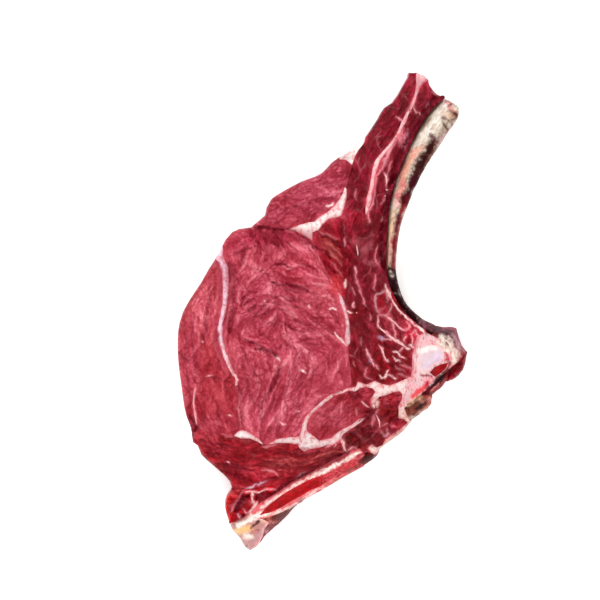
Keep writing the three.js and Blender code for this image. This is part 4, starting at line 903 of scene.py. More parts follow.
SPONGE_END = 40  # marrow is spongy up to this x, starting a little left of the middle
SPONGE_START = -3


def each_line(groups):
    """Each line of a table with the numbers and names that stand before it."""
    for group in groups:
        shared = [part for part in group if not isinstance(part, list)]
        for line in group[len(shared):]:
            yield (*shared, line)


def near_line(plan, line, reach):
    """Which points lie within a reach of the line's box."""
    line = np.reshape(line, (-1, 2))
    low, high = line.min(0) - reach, line.max(0) + reach
    return np.nonzero(((plan >= low) & (plan <= high)).all(1))[0]


def smooth_line(line, step=0.8):
    """Curve through given points."""
    line = np.reshape(line, (-1, 2)).astype(float)
    if len(line) < 3:
        return line
    padded = np.vstack([2 * line[0] - line[1], line, 2 * line[-1] - line[-2]])
    curve = []
    for i in range(1, len(padded) - 2):
        p0, p1, p2, p3 = padded[i - 1:i + 3]
        parts = max(2, int(np.hypot(*(p2 - p1)) / step))
        for t in np.arange(parts) / parts:
            curve.append(0.5 * (2 * p1 + (p2 - p0) * t + (2 * p0 - 5 * p1 + 4 * p2 - p3) * t * t
                                + (3 * p1 - p0 - 3 * p2 + p3) * t ** 3))
    curve.append(padded[-2])
    return np.array(curve)


def wandered(plan):
    """Plan shifted by small noise, so that painted lines are ragged."""
    x, y = plan.T
    return plan + WANDER * np.column_stack([
        noise(x, y, 2.6, 21, 3), noise(x, y, 2.6, 22, 3)])


def stroke_profile(plan, line, width, tapered=True):
    """Distance from the line, and its half width, which may taper at both ends."""
    curve = smooth_line(line)
    distance, along, _ = nearest_on_line(plan, curve)
    length = np.hypot(*np.diff(curve, axis=0).T).sum()
    ends = np.minimum(along, length - along) / max(1e-6, min(length / 2, TAPER))
    if tapered:
        half = width / 2 * (TIP_WIDTH + (1 - TIP_WIDTH) * np.sqrt(np.clip(ends, 0, 1)))
    else:
        half = np.full(len(plan), width / 2)
    half *= 1 + 0.6 * noise(along, np.full(len(along), width * 9), 3.5, 23, 2)
    return distance, half


def blended(colour, text, amount):
    """Colour mixed with that of a hex text, by an amount for each point."""
    amount = np.clip(amount, 0, 1)[:, None]
    return colour * (1 - amount) + np.array(hex_colour(text)) * amount


def painted(column, spec, near_meat, near_pale):
    """Colour, fat and painted crease shade for each point, and how far the point sinks."""
    is_meat = spec.finish in MEATS
    soft = is_meat or spec.finish == "fat"
    plan = wandered(column.plan)
    x, y = column.plan.T
    z = column.points[:, 2]
    depth = np.clip((z.max() - z) / WALL_CALM - 1, 0, 1)
    plan += WALL_STRAY * depth[:, None] * np.column_stack([
        noise(x + y, 2 * z, 6, 24), noise(x - y, 2 * z, 6, 25)])
    ragged = np.clip(0.55 + 1.1 * noise(x, y, 3.5, 33), 0, 1)
    fine = noise(x, y, 1.1, 34, 2)
    colour = np.tile(hex_colour(spec.colour), (len(plan), 1))
    for cx, cy, rx, ry, turn, text, strength in PATCHES:
        c, s = math.cos(math.radians(turn)), math.sin(math.radians(turn))
        dx, dy = x - cx, y - cy
        u, v = (dx * c + dy * s) / rx, (dy * c - dx * s) / ry
        reach = np.hypot(u, v) + PATCH_RAGGEDNESS * noise(x, y, 7, 31)
        colour = blended(colour, text, strength * np.clip(1.6 - 1.2 * reach, 0, 1))
    relief = np.zeros(len(plan))
    crease = np.zeros(len(plan))
    if is_meat:
        look = MEATS[spec.finish]
        tone, relief, sinew = fibre_tone(column.plan, spec.flow, look)
        tone = np.clip(tone * look.contrast, -TONE_LIMIT, TONE_LIMIT)
        colour = colour * np.exp(tone[:, None] * np.array(TONE_SPREAD))
        colour = blended(colour, SINEW, sinew)
        fringe = np.exp(-np.maximum(near_pale, 0) / (0.5 + 0.9 * ragged))
        colour = blended(colour, FRINGE, 0.75 * ragged * fringe)
        # painted shade along the seams with other muscles
        crease = SEAM_SHADE * ragged * np.exp(-(near_meat / 0.6) ** 2)
    elif spec.finish in ("fat", "cut_bone"):
        reach = (0.35 + 0.6 * ragged) * (2.0 if spec.finish == "cut_bone" else 1.0)
        colour = blended(colour, FRINGE, (0.25 + 0.75 * ragged) * np.exp(-near_meat / reach))
    elif spec.finish == "gristle":
        colour = blended(colour, GRISTLE_EDGE, 0.9 * np.exp(-(near_pale / GRISTLE_RIM) ** 2))
    fat = np.zeros(len(plan))
    # the bone strokes include the painted shade on the rib's dark walls
    stains = FAT_STREAKS if soft else [] if spec.finish == "marrow" else BONE_STAINS_AND_SHADE
    for name, width, strength, line in each_line(stains):
        rows = near_line(plan, line, width + 3)
        if len(rows):
            distance, half = stroke_profile(plan[rows], line, width, soft)
            edge = 0.5 + (half - distance) / (0.45 + (0.25 if soft else 0.5) * width)
            amount = strength * np.clip(edge + 0.4 * fine[rows] * (edge < 1.4), 0, 1)
            if soft:
                amount *= np.clip(0.85 + 0.6 * noise(*column.plan[rows].T, 3, 35), 0.3, 1)
            fat[rows] = np.maximum(fat[rows], amount)
            if is_meat:
                halo = np.exp(-(np.maximum(distance - half, 0) / HALO) ** 2)
                colour[rows] = blended(colour[rows], SINEW, HALO_STRENGTH * strength * halo)
            colour[rows] = blended(colour[rows], PALETTE[name], amount)
    if spec.finish == "marrow":
        along = column.plan[:, 0]
        fat = np.clip((along - SPONGE_START) / 9, 0, 0.6) * (along < SPONGE_END)
    sink = np.zeros(len(plan))
    for width, depth, shade_strength, line in each_line(CREASES):
        rows = near_line(plan, line, 3 * width + 2)
        if len(rows):
            distance, half = stroke_profile(plan[rows], line, width)
            half = CREASE_WIDTH * np.maximum(half, 0.1)
            # painted shade across the crease, with a soft wider fringe; the hollow below is the real sink
            groove = np.exp(-(distance / half) ** 2) + 0.25 * np.exp(-(distance / half / 2.6) ** 2)
            crease[rows] = np.maximum(crease[rows], shade_strength * groove * (0.75 + 0.4 * fine[rows]))
            hollow = CREASE_DEPTH * depth * np.exp(-(distance / half / 1.6) ** 2)
            sink[rows] = np.maximum(sink[rows], hollow)
    crease[column.zone == SIDE] *= WALL_CREASE
    if spec.finish in BONE_TONES:
        tone = bone_tone(column.plan, spec.flow)
        colour = colour * np.exp(tone[:, None] * np.array(BONE_TONES[spec.finish]))
    if not soft:
        crease *= 0.5
    colour = np.column_stack([np.clip(colour, 0, LIGHTEST), np.ones(len(plan))])
    return colour, fat, crease, sink - relief * (1 - FAT_FLATNESS * fat)


def bone_tone(plan, flow):
    """Light and dark of scratches and pores in bone, around zero."""
    field = fibre_field(FLOWS[flow], plan)
    x, y = plan.T
    scratch = fibre_noise(plan, field, 1.0, 4.0, 91)
    pit = fibre_noise(plan, field, 0.9, 0.7, 92)
    return 0.6 * scratch + 0.6 * pit + 1.2 * noise(x, y, 6, 93)


# ---- fibres ----

Field = namedtuple("Field", "low cosine sine")
FIELD_CELL = 2.0  # spacing of the grid of directions
FIELD_EDGE = 14.0  # how far it reaches beyond a piece
WAVINESS = 0.7  # radians by which fibres stray from their lines
SMEAR_STEPS = 5  # samples along a fibre on each side of a point


def fibre_field(lines, plan):
    """Grid of fibre directions, as the cosine and sine of twice their angle."""
    places, turns = [], []
    for line in lines:
        curve = smooth_line(line, 3.0)
        step = np.diff(curve, axis=0)
        angle = 2 * np.arctan2(step[:, 1], step[:, 0])
        places.append((curve[1:] + curve[:-1]) / 2)
        turns.append(np.column_stack([np.cos(angle), np.sin(angle)]))
    places, turns = np.vstack(places), np.vstack(turns)
    low = plan.min(0) - FIELD_EDGE
    counts = np.ceil((plan.max(0) + FIELD_EDGE - low) / FIELD_CELL).astype(int) + 1
    grid_x, grid_y = np.meshgrid(*(low[k] + FIELD_CELL * np.arange(counts[k]) for k in (0, 1)))
    gap = (grid_x[..., None] - places[:, 0]) ** 2 + (grid_y[..., None] - places[:, 1]) ** 2
    weight = 1 / (gap + 4) ** 1.5
    return Field(low, weight @ turns[:, 0], weight @ turns[:, 1])


def direction_at(points, field):
    """Unit fibre direction at each point."""
    u = (points - field.low) / FIELD_CELL
    rows, columns = field.cosine.shape
    i = np.clip(u[:, 0].astype(int), 0, columns - 2)
    j = np.clip(u[:, 1].astype(int), 0, rows - 2)
    fu, fv = np.clip(u[:, 0] - i, 0, 1), np.clip(u[:, 1] - j, 0, 1)
    both = []
    for part in (field.cosine, field.sine):
        low = part[j, i] * (1 - fu) + part[j, i + 1] * fu
        high = part[j + 1, i] * (1 - fu) + part[j + 1, i + 1] * fu
        both.append(low * (1 - fv) + high * fv)
    angle = np.arctan2(both[1], both[0]) / 2
    angle += WAVINESS * noise(points[:, 0], points[:, 1], 9, 71, 1)
    return np.column_stack([np.cos(angle), np.sin(angle)])


def fibre_noise(plan, field, size, reach, seed):
    """Noise smeared along the fibres, scaled to a spread of one."""
    total = noise(plan[:, 0], plan[:, 1], size, seed, 1)
    stride = reach / SMEAR_STEPS
    start = direction_at(plan, field)
    for way in (1, -1):
        place, heading = plan.copy(), start * way
        for k in range(1, SMEAR_STEPS + 1):
            place = place + heading * stride
            ahead = direction_at(place, field)
            heading = ahead * np.sign((ahead * heading).sum(1) + 1e-9)[:, None]
            share = math.cos(math.pi / 2 * k / (SMEAR_STEPS + 1)) ** 2
            total += share * noise(place[:, 0], place[:, 1], size, seed, 1)
    return (total - total.mean()) / max(total.std(), 1e-9)


def bundles(plan, field, size, stretch, seed):
    """Cells drawn out along the fibres: how far from the edge, and each cell's own tone."""
    x, y = plan.T
    stray = np.column_stack([noise(x, y, size * 1.3, seed + k, 2) for k in (1, 2)])
    place = plan + 0.45 * size * stray
    heading = direction_at(plan, field)
    spacing = size * math.sqrt(stretch)
    home = np.floor(place / spacing).astype(np.int64)
    nearest, second = np.full(len(plan), FAR), np.full(len(plan), FAR)
    tone = np.zeros(len(plan))
    for step_x in range(-2, 3):
        for step_y in range(-2, 3):
            ix, iy = home[:, 0] + step_x, home[:, 1] + step_y
            centre = np.column_stack([ix + lattice(ix, iy, seed), iy + lattice(ix, iy, seed + 5)])
            offset = place - centre * spacing
            along = (offset * heading).sum(1) / (size * stretch)
            across = (offset[:, 1] * heading[:, 0] - offset[:, 0] * heading[:, 1]) / size
            gap = np.hypot(along, across)
            nearer = gap < nearest
            second = np.where(nearer, nearest, np.minimum(second, gap))
            tone = np.where(nearer, 2 * lattice(ix, iy, seed + 9) - 1, tone)
            nearest = np.minimum(nearest, gap)
    return (second - nearest) * size / 2, tone


def fibre_tone(plan, flow, look):
    """Light and dark of the fibres around zero with painted glints, their relief in millimetres, and sinew.
    """
    field = fibre_field(FLOWS[flow], plan)
    x, y = plan.T
    fibre = fibre_noise(plan, field, 0.7, 1.2, 81)
    strand = fibre_noise(plan, field, 1.3, 3.0, 82)
    wrinkle = fibre_noise(plan, field, 2.6, 8.0, 83)
    edge, own = bundles(plan, field, look.cell, 1.7, 84)
    far_edge, far_own = bundles(plan, field, look.cell * 2.6, 1.9, 184)
    gate = np.clip(0.75 + 1.2 * noise(x, y, 10, 85), 0.1, 1)
    far_gate = np.clip(0.6 + 1.5 * noise(x, y, 18, 89), 0, 1)
    line = np.exp(-(edge / 0.3) ** 2) * gate
    far_line = np.exp(-(far_edge / 0.5) ** 2) * far_gate
    grain = noise(x, y, 1.1, 86, 2)
    blotch = noise(x, y, 22, 87)
    tone = (look.fibre * fibre + look.strand * strand + look.wrinkle * wrinkle
            + look.grain * 2.0 * grain + look.blotch * 1.6 * blotch)
    # pale specks painted as wet glints where the fibre streaks peak
    tone += look.fleck * np.clip(fibre + 0.6 * strand - 1.4, 0, 2)
    tone += look.line * (0.5 - 1.6 * line - 1.6 * far_line + 0.3 * own) + look.blotch * far_own
    relief = (0.05 * fibre + 0.07 * strand + 0.7 * look.wrinkle * wrinkle + 0.05 * grain
              - 0.3 * line - 0.5 * far_line + 0.08 * own)
    sinew = look.sinew * np.exp(-(far_edge / 0.42) ** 2) * np.clip(
        0.2 + 1.6 * noise(x, y, 9, 90), 0, 1)
    return tone, relief, sinew


def flow_coordinates(column, flow):
    """Run along the fibres, distance across them, and height, in millimetres."""
    curve = smooth_line(FLOWS[flow][0], 2.0)
    distance, along, side = nearest_on_line(column.plan, curve)
    return np.column_stack([along, distance * side, column.points[:, 2]])


# type and field of an attribute, by how many numbers it holds for each point
LAYER_KINDS = {1: ("FLOAT", "value"), 3: ("FLOAT_VECTOR", "vector"), 4: ("FLOAT_COLOR", "color")}


def add_layer(mesh, name, values):
    """Attribute of a mesh with a number, a vector or a colour for each point."""
    kind, field = LAYER_KINDS[values.size // len(mesh.vertices)]
    mesh.attributes.new(name, kind, "POINT").data.foreach_set(
        field, values.astype(np.float32).ravel())


def read_out(items, field, width, kind=np.float32):
    """Array with a row for each of a mesh's items."""
    values = np.empty(len(items) * width, kind)
    items.foreach_get(field, values)
    return values.reshape(-1, width)


def finished_mesh(name, points, faces, layers, sharp):
    """Mesh in metres with one attribute for each painted layer, sharp between sharp points."""
    mesh = bpy.data.meshes.new(name)
    mesh.vertices.add(len(points))
    mesh.vertices.foreach_set("co", (points * MM).astype(np.float32).ravel())
    mesh.loops.add(faces.size)
    mesh.loops.foreach_set("vertex_index", faces.astype(np.int32).ravel())
    mesh.polygons.add(len(faces))
    mesh.polygons.foreach_set("loop_start", np.arange(0, faces.size, 3, dtype=np.int32))
    mesh.polygons.foreach_set("use_smooth", np.ones(len(faces), bool))
    mesh.update(calc_edges=True)
    mesh.validate()
    ends = read_out(mesh.edges, "vertices", 2, np.int32)
    mesh.attributes.new("sharp_edge", "BOOLEAN", "EDGE").data.foreach_set(
        "value", sharp[ends].all(1))
    for layer, values in layers.items():
        add_layer(mesh, layer, values)
    return mesh


def new_object(name, data):
    """Object in the scene with this mesh, light or camera."""
    made = bpy.data.objects.new(name, data)
    bpy.context.scene.collection.objects.link(made)
    return made


def evaluated_mesh(carrier):
    """Plain mesh that an object's modifiers make. The object is removed."""
    graph = bpy.context.evaluated_depsgraph_get()
    mesh = bpy.data.meshes.new_from_object(carrier.evaluated_get(graph))
    bpy.data.objects.remove(carrier)
    return mesh


def add_piece(name, mesh, material, node):
    """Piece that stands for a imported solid."""
    piece = new_object(name, mesh)
    mesh.materials.append(material)
    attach(piece, BODY)
    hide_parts(node)
    return piece


# ---- materials ----

def add_node(tree, kind, values=None, **settings):
    """Adds a node with settings and values or links; a node given as a value is its first output."""
    node = tree.nodes.new(kind)
    for name, value in settings.items():
        setattr(node, name, value)
    for socket, value in (values or {}).items():
        if isinstance(value, bpy.types.Node):
            value = value.outputs[0]
        if isinstance(value, bpy.types.NodeSocket):
            tree.links.new(value, node.inputs[socket])
        else:
            node.inputs[socket].default_value = value
    return node


def new_material(name):
    """Empty material and the function that adds a node to it."""
    material = bpy.data.materials.new(name)
    material.use_nodes = True
    material.node_tree.nodes.clear()
    return material, partial(add_node, material.node_tree)


def rgba(text):
    """Opaque linear colour from sRGB hex text."""
    return (*hex_colour(text), 1)


# What the tissues look like, from the real ones, then matched to the photo. Each stain is a
# noise or a net of cell walls, its features this long along, across and into the tissue in
# mm, laid over where the pattern lies between "low" and "high".
Tissue = namedtuple("Tissue", "ior rough under shine stray relief_mm stains")
Stain = namedtuple("Stain", "kind where size low high amount blend tint height")
TISSUES = {
    # raw beef, knife cut: moist fibres, dark where they part, pale where they catch light
    "raw_beef": Tissue(1.4, 0.27, 0.03, 0.12, 0, 0.35, (
        Stain("noise", "bare", (1.1, 0.45, 1.1), 0.5, 0.28, 0.8, "MULTIPLY", "#cda0ae", 0),
        Stain("noise", "bare", (1.1, 0.45, 1.1), 0.58, 0.75, 0.6, "DODGE", "#989c98", 1),
        Stain("noise", "skin", (9, 9, 9), 0.3, 0.65, 0.9, "MIX", "#b98088", 0))),
    # raw beef fat: firm, waxy and pale, in faint lobules, stained pink by the meat
    "raw_beef_fat": Tissue(1.46, 0.4, 0.25, 0.2, 1.5, 0.2, (
        Stain("noise", "all", (2.8, 2.4, 3), 0.46, 0.68, 1, "MULTIPLY", "#eaa2a6", 1),
        Stain("noise", "all", (0.9, 0.6, 0.9), 0.45, 0.7, 0.25, "MULTIPLY", "#f0bcc0", 0.5),
        Stain("net", "all", (2.2, 1.4, 10), 0.12, 0, 0.25, "MULTIPLY", "#eeb4ba", 0.6))),
    # sawn fresh bone: pale dense rim, faint saw lines, tiny red pores
    "sawn_bone": Tissue(1.55, 0.42, 0.15, 0.15, 0.5, 0.15, (
        Stain("noise", "all", (2.2, 1.4, 3), 0.46, 0.66, 1, "MULTIPLY", "#e8a2a0", 1),
        Stain("noise", "all", (0.45, 5, 5), 0.4, 0.7, 0.2, "MULTIPLY", "#e8d2cc", 1))),
    # bone and membrane dried in air: brown and black stains, dull
    "dried_bone": Tissue(1.55, 0.5, 0.05, 0.06, 3, 0.7, (
        Stain("noise", "all", (6, 4, 5), 0.42, 0.68, 0.9, "MULTIPLY", "#8a6969", 1),
        Stain("noise", "all", (6, 1.1, 2), 0.5, 0.75, 0.8, "DODGE", "#8c8880", 1))),
    # red marrow: wet and bright, with a spongy net of pale bone in places
    "red_marrow": Tissue(1.4, 0.25, 0.1, 0.2, 0.9, 0.3, (
        Stain("noise", "all", (0.8, 0.8, 0.8), 0.42, 0.66, 0.75, "MULTIPLY", "#b35a6c", 1),
        Stain("net", "fat", (1.35, 1.05, 2), 0.2, 0.02, 1, "MIX", "#d8606a", 0.6))),
    # cartilage: smooth and milky, with a wet sheen
    "gristle": Tissue(1.38, 0.3, 0.3, 0.2, 0, 0.3, (
        Stain("noise", "all", (3.3, 3.3, 3.3), 0.5, 0.75, 0.7, "MULTIPLY", "#f6d4d7", 1),)),
    # rib bone, scraped and dried: cream with grey and brown stains, long scratches
    "scraped_rib_bone": Tissue(1.55, 0.45, 0.08, 0.02, 2, 0.8, (
        Stain("noise", "all", (9, 0.7, 1), 0.5, 0.7, 0.8, "MULTIPLY", "#b09488", 1),
        Stain("noise", "all", (9, 0.7, 1), 0.44, 0.25, 0.6, "DODGE", "#60605c", 0),
        Stain("noise", "all", (10, 3.3, 5), 0.52, 0.8, 0.7, "MULTIPLY", "#ae8a80", 0))),
    # strings and crumbs of fat and silver skin: pale, moist, pinker in places
    "string_fat": Tissue(1.46, 0.3, 0.2, 0.2, 0, 0.3, (
        Stain("noise", "all", (2.5, 2.5, 2.5), 0.4, 0.66, 1, "MIX", "#d0707c", 1),)),
}
STRAY_SIZE = 3.0  # size of the waves in which a tissue's pattern strays
UNDER_REACH = 0.8  # how deep light goes under the surface, in millimetres
UNDER_SPREAD = (1.0, 0.35, 0.25)  # and how far of that in red, green and blue


def tissue_material(name):
    """Material of a tissue: the painted colour with its stains, the painted shade of creases, and relief.
    """
    look = TISSUES[name]
    material, node = new_material(name)
    layer = {key: node("ShaderNodeAttribute", attribute_name=key)
             for key in ("paint", "flow", "fat", "crease", "skin")}
    bare = node("ShaderNodeMath", {0: 1, 1: layer["fat"].outputs["Fac"]}, operation="SUBTRACT")
    masks = {"bare": bare, "fat": layer["fat"].outputs["Fac"],
             "skin": layer["skin"].outputs["Fac"], "all": 1}
    wave = node("ShaderNodeTexNoise", {
        "Vector": layer["flow"].outputs["Vector"], "Scale": 1 / STRAY_SIZE, "Detail": 2.0})
    place = node("ShaderNodeVectorMath", {
        0: wave.outputs["Color"], 1: (look.stray,) * 3, 2: layer["flow"].outputs["Vector"]},
        operation="MULTIPLY_ADD")
    colour, height = layer["paint"].outputs["Color"], 0
    for stain in look.stains:
        spot = node("ShaderNodeVectorMath", {
            0: place, 1: tuple(1 / size for size in stain.size)}, operation="MULTIPLY")
        if stain.kind == "net":
            pattern = node("ShaderNodeTexVoronoi", {
                "Vector": spot, "Scale": 1.0}, feature="DISTANCE_TO_EDGE").outputs["Distance"]
        else:
            pattern = node("ShaderNodeTexNoise", {
                "Vector": spot, "Scale": 1.0, "Detail": 4.0,
                "Roughness": 0.65}).outputs["Fac"]
        cover = node("ShaderNodeMapRange", {
            "Value": pattern, "From Min": stain.low, "From Max": stain.high,
            "To Min": 0.0, "To Max": stain.amount}, interpolation_type="SMOOTHSTEP")
        share = node("ShaderNodeMath", {0: cover, 1: masks[stain.where]}, operation="MULTIPLY")
        colour = node("ShaderNodeMix", {
            0: share, 6: colour, 7: rgba(stain.tint)},
            data_type="RGBA", blend_type=stain.blend).outputs[2]
        height = node("ShaderNodeMath", {
            0: pattern, 1: stain.height, 2: height}, operation="MULTIPLY_ADD").outputs[0]
    # painted shade of creases and seams, mixed over the colour
    crease_shaded = node("ShaderNodeMix", {
        0: layer["crease"].outputs["Fac"], 6: colour,
        7: (*bpy.context.scene.steak_colours.crease, 1)}, data_type="RGBA")
    bump = node("ShaderNodeBump", {
        "Height": height, "Strength": 1.0, "Distance": look.relief_mm * MM})
    shader = node("ShaderNodeBsdfPrincipled", {
        "Base Color": crease_shaded.outputs[2], "Normal": bump, "IOR": look.ior,
        "Roughness": look.rough, "Specular IOR Level": look.shine,
        "Subsurface Weight": look.under, "Subsurface Scale": UNDER_REACH * MM,
        "Subsurface Radius": UNDER_SPREAD})
    node("ShaderNodeOutputMaterial", {"Surface": shader})
    return material


# ---- strings and crumbs of fat, by geometry nodes ----

STRING_COLOUR = "#ecbab8"
STRING_SIDES = 8
STRING_STEP = 1.0  # spacing of the places where a string touches the cut face
STRING_SUNK = 0.12  # share of its width by which a string is pressed in
STRING_WAVES = 0.35  # bends to a millimetre
STRING_TAPER = 0.35  # the smaller, the nearer to its tips a string stays thick
STRING_THICKNESS = (0.55, 1.35)  # least and most, as shares of its width
SEAM_STEP = 0.5  # sideways step that clears the seam between two tissues
CRUMB_LEAST = (0.3, 0.2, 0.1)  # half sizes of a crumb, as shares of the largest one's length
CRUMB_MOST = (0.6, 0.35, 0.16)
CRUMB_SEED = 4
CRUMB_LUMPS = 0.9  # height of a crumb's lumps, as a share of its half size
CRUMB_TILT = 0.3  # radians


def new_geometry_tree(name, settings):
    """Geometry tree with named settings, and the outputs of its input node."""
    tree = bpy.data.node_groups.new(name, "GeometryNodeTree")
    tree.interface.new_socket("Geometry", in_out="INPUT", socket_type="NodeSocketGeometry")
    for label, kind in settings:
        tree.interface.new_socket(label, in_out="INPUT", socket_type="NodeSocket" + kind)
    tree.interface.new_socket("Geometry", in_out="OUTPUT", socket_type="NodeSocketGeometry")
    return tree, add_node(tree, "NodeGroupInput").outputs


def string_tree(material):
    """Round strings along the carrier's edges, straying a little and thin at both ends."""
    tree, given = new_geometry_tree("fat_strings", (
        ("Step", "Float"), ("Stray", "Float"), ("Sides", "Int")))
    node = partial(add_node, tree)
    curve = node("GeometryNodeMeshToCurve", {"Mesh": given["Geometry"]})
    even = node("GeometryNodeResampleCurve", {
        "Curve": curve, "Length": given["Step"]}, mode="LENGTH")
    place = node("GeometryNodeInputPosition")
    wave = node("ShaderNodeTexNoise", {"Vector": place, "Scale": STRING_WAVES / MM, "Detail": 2.0})
    centred = node("ShaderNodeVectorMath", {
        0: wave.outputs["Color"], 1: (0.5, 0.5, 0.5)}, operation="SUBTRACT")
    push = node("ShaderNodeVectorMath", {0: centred, "Scale": given["Stray"]}, operation="SCALE")
    moved = node("GeometryNodeSetPosition", {"Geometry": even, "Offset": push})
    run = node("GeometryNodeSplineParameter")
    arch = node("ShaderNodeMath", {0: run.outputs["Factor"], 1: math.pi}, operation="MULTIPLY")
    rise = node("ShaderNodeMath", {0: arch}, operation="SINE")
    taper = node("ShaderNodeMath", {0: rise, 1: STRING_TAPER}, operation="POWER", use_clamp=True)
    uneven = node("ShaderNodeMapRange", {
        "Value": wave.outputs["Fac"], "From Min": 0.3, "From Max": 0.7,
        "To Min": STRING_THICKNESS[0], "To Max": STRING_THICKNESS[1]})
    width = node("GeometryNodeInputNamedAttribute", {"Name": "half_width"})
    tapered = node("ShaderNodeMath", {0: taper, 1: width}, operation="MULTIPLY")
    scale = node("ShaderNodeMath", {0: tapered, 1: uneven}, operation="MULTIPLY")
    section = node("GeometryNodeCurvePrimitiveCircle", {
        "Resolution": given["Sides"], "Radius": 1.0})
    tube = node("GeometryNodeCurveToMesh", {
        "Curve": moved, "Profile Curve": section,
        "Scale": scale, "Fill Caps": True})
    end_tree(tree, tube, material)
    return tree


def crumb_tree(material):
    """A small flattened lump at each of the carrier's points, each of its own size and turn."""
    tree, given = new_geometry_tree("fat_crumbs", (
        ("Smallest", "Vector"), ("Largest", "Vector"), ("Seed", "Int")))
    node = partial(add_node, tree)
    points = node("GeometryNodeMeshToPoints", {"Mesh": given["Geometry"]})
    ball = node("GeometryNodeMeshIcoSphere", {"Radius": 1.0, "Subdivisions": 2})
    wave = node("ShaderNodeTexNoise", {"Vector": node("GeometryNodeInputPosition"), "Scale": 1.3})
    swell = node("ShaderNodeVectorMath", {
        0: wave.outputs["Color"], 1: (CRUMB_LUMPS,) * 3, 2: (-CRUMB_LUMPS / 2,) * 3},
        operation="MULTIPLY_ADD")
    lump = node("GeometryNodeSetPosition", {"Geometry": ball, "Offset": swell})
    turn = node("FunctionNodeRandomValue", {
        "Max": (CRUMB_TILT, CRUMB_TILT, 2 * math.pi), "Seed": given["Seed"]}, data_type="FLOAT_VECTOR")
    size = node("FunctionNodeRandomValue", {
        "Min": given["Smallest"], "Max": given["Largest"], "Seed": given["Seed"]},
        data_type="FLOAT_VECTOR")
    scattered = node("GeometryNodeInstanceOnPoints", {
        "Points": points, "Instance": lump,
        "Rotation": turn, "Scale": size})
    end_tree(tree, scattered, material)
    return tree


def end_tree(tree, shape, material):
    """Smooth shading, real geometry and a material."""
    node = partial(add_node, tree)
    real = node("GeometryNodeRealizeInstances", {"Geometry": shape})
    smooth = node("GeometryNodeSetShadeSmooth", {"Geometry": real})
    finished = node("GeometryNodeSetMaterial", {"Geometry": smooth, "Material": material})
    node("NodeGroupOutput", {0: finished})


def grow(name, carrier_mesh, tree, settings):
    """Plain object that a geometry tree makes from a carrier mesh."""
    carrier = new_object(name + "_carrier", carrier_mesh)
    modifier = carrier.modifiers.new(name, "NODES")
    modifier.node_group = tree
    sockets = {item.name: item.identifier for item in tree.interface.items_tree
               if item.in_out == "INPUT"}
    for label, value in settings.items():
        modifier[sockets[label]] = value
    mesh = evaluated_mesh(carrier)
    count = len(mesh.vertices)
    if not count:
        raise RuntimeError(name + " came out empty")
    add_layer(mesh, "flow", read_out(mesh.vertices, "co", 3) / MM)
    add_layer(mesh, "paint", np.tile(rgba(STRING_COLOUR), count))
    piece = new_object(name, mesh)
    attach(piece, BODY)
    return piece


def cut_height(x, y):
    """Height of the cut face around a place, in millimetres."""
    heights = []
    for piece in bpy.context.scene.objects:
        if not piece.name.endswith("_look"):
            continue
        for dx, dy in ((0, 0), (SEAM_STEP, 0), (-SEAM_STEP, 0), (0, SEAM_STEP), (0, -SEAM_STEP)):
            hit, place, _, _ = piece.ray_cast(((x + dx) * MM, (y + dy) * MM, 1.0), (0, 0, -1))
            if hit:
                heights.append(place.z / MM)
    if not heights:
        raise RuntimeError("nothing lies under (%.1f, %.1f)" % (x, y))
    return max(heights)


# ---- building groups of pieces ----

OUTLINES = {}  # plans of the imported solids, read once
DENSE_OUTLINES = {}  # the same with a point at each step
DENSE_STEP = 0.5


def all_outlines():
    """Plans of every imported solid."""
    if not OUTLINES:
        for node in frame["nodes"]:
            OUTLINES[node] = plan_outlines(node)
    return OUTLINES


def dense_outline(node):
    """Points close together along all of a solid's outlines."""
    if node not in DENSE_OUTLINES:
        lines = [evenly_spaced(line, DENSE_STEP, True) for line in all_outlines()[node]]
        DENSE_OUTLINES[node] = np.vstack(lines)
    return DENSE_OUTLINES[node]


def neighbour_distances(node, plan):
    """Distance to the nearest muscle, and to the nearest fat, bone or gristle."""
    clouds = {True: [np.empty((0, 2))], False: [np.empty((0, 2))]}
    for name in all_outlines():
        together = name in ONE_MASS and node in ONE_MASS
        if name not in (node, "rib_bone") and not together:
            clouds[PIECES[name].finish in MEATS].append(dense_outline(name))
    return [cloud_distance(plan, np.vstack(clouds[kind])) for kind in (True, False)]


def build_tissue(node, material):
    """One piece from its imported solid's plan, painted and placed."""
    spec = PIECES[node]
    sizes = bpy.context.scene.steak_sizes
    outlines = all_outlines()
    column = tissue_column(node, spec, outlines, sizes)
    colour, fat, crease, sink = painted(column, spec, *neighbour_distances(node, column.plan))
    points = column.points
    top = column.zone == TOP
    points[top, 2] -= sink[top] * np.clip(column.inner[top] / SEAM_CALM, 0, 1)
    skin = np.where((column.zone == SIDE) & (column.outer < FAR), 1.0, 0.0)
    layers = {
        "paint": colour, "fat": fat, "crease": crease, "skin": skin,
        "flow": flow_coordinates(column, spec.flow)}
    mesh = finished_mesh(node + "_look", points, column.faces, layers, column.sharp)
    return add_piece(node + "_look", mesh, material, node)


def build_finish(tissue, finishes):
    """All pieces with one of these finishes, in the material of a tissue."""
    material = tissue_material(tissue)
    nodes = [node for node, spec in PIECES.items() if spec.finish in finishes]
    if not nodes:
        raise RuntimeError("no piece is made of " + tissue)
    for node in nodes:
        build_tissue(node, material)


class STEAK_OT_muscles(bpy.types.Operator):
    """Build every muscle of the steak"""
    bl_idname = "steak.muscles"
    bl_label = "Muscles"

    def execute(self, context):
        build_finish("raw_beef", MEATS)
        return {"FINISHED"}


class STEAK_OT_fat(bpy.types.Operator):
    """Build the seams and wedges of fat"""
    bl_idname = "steak.fat"
    bl_label = "Fat"

    def execute(self, context):
        build_finish("raw_beef_fat", ["fat"])
        return {"FINISHED"}


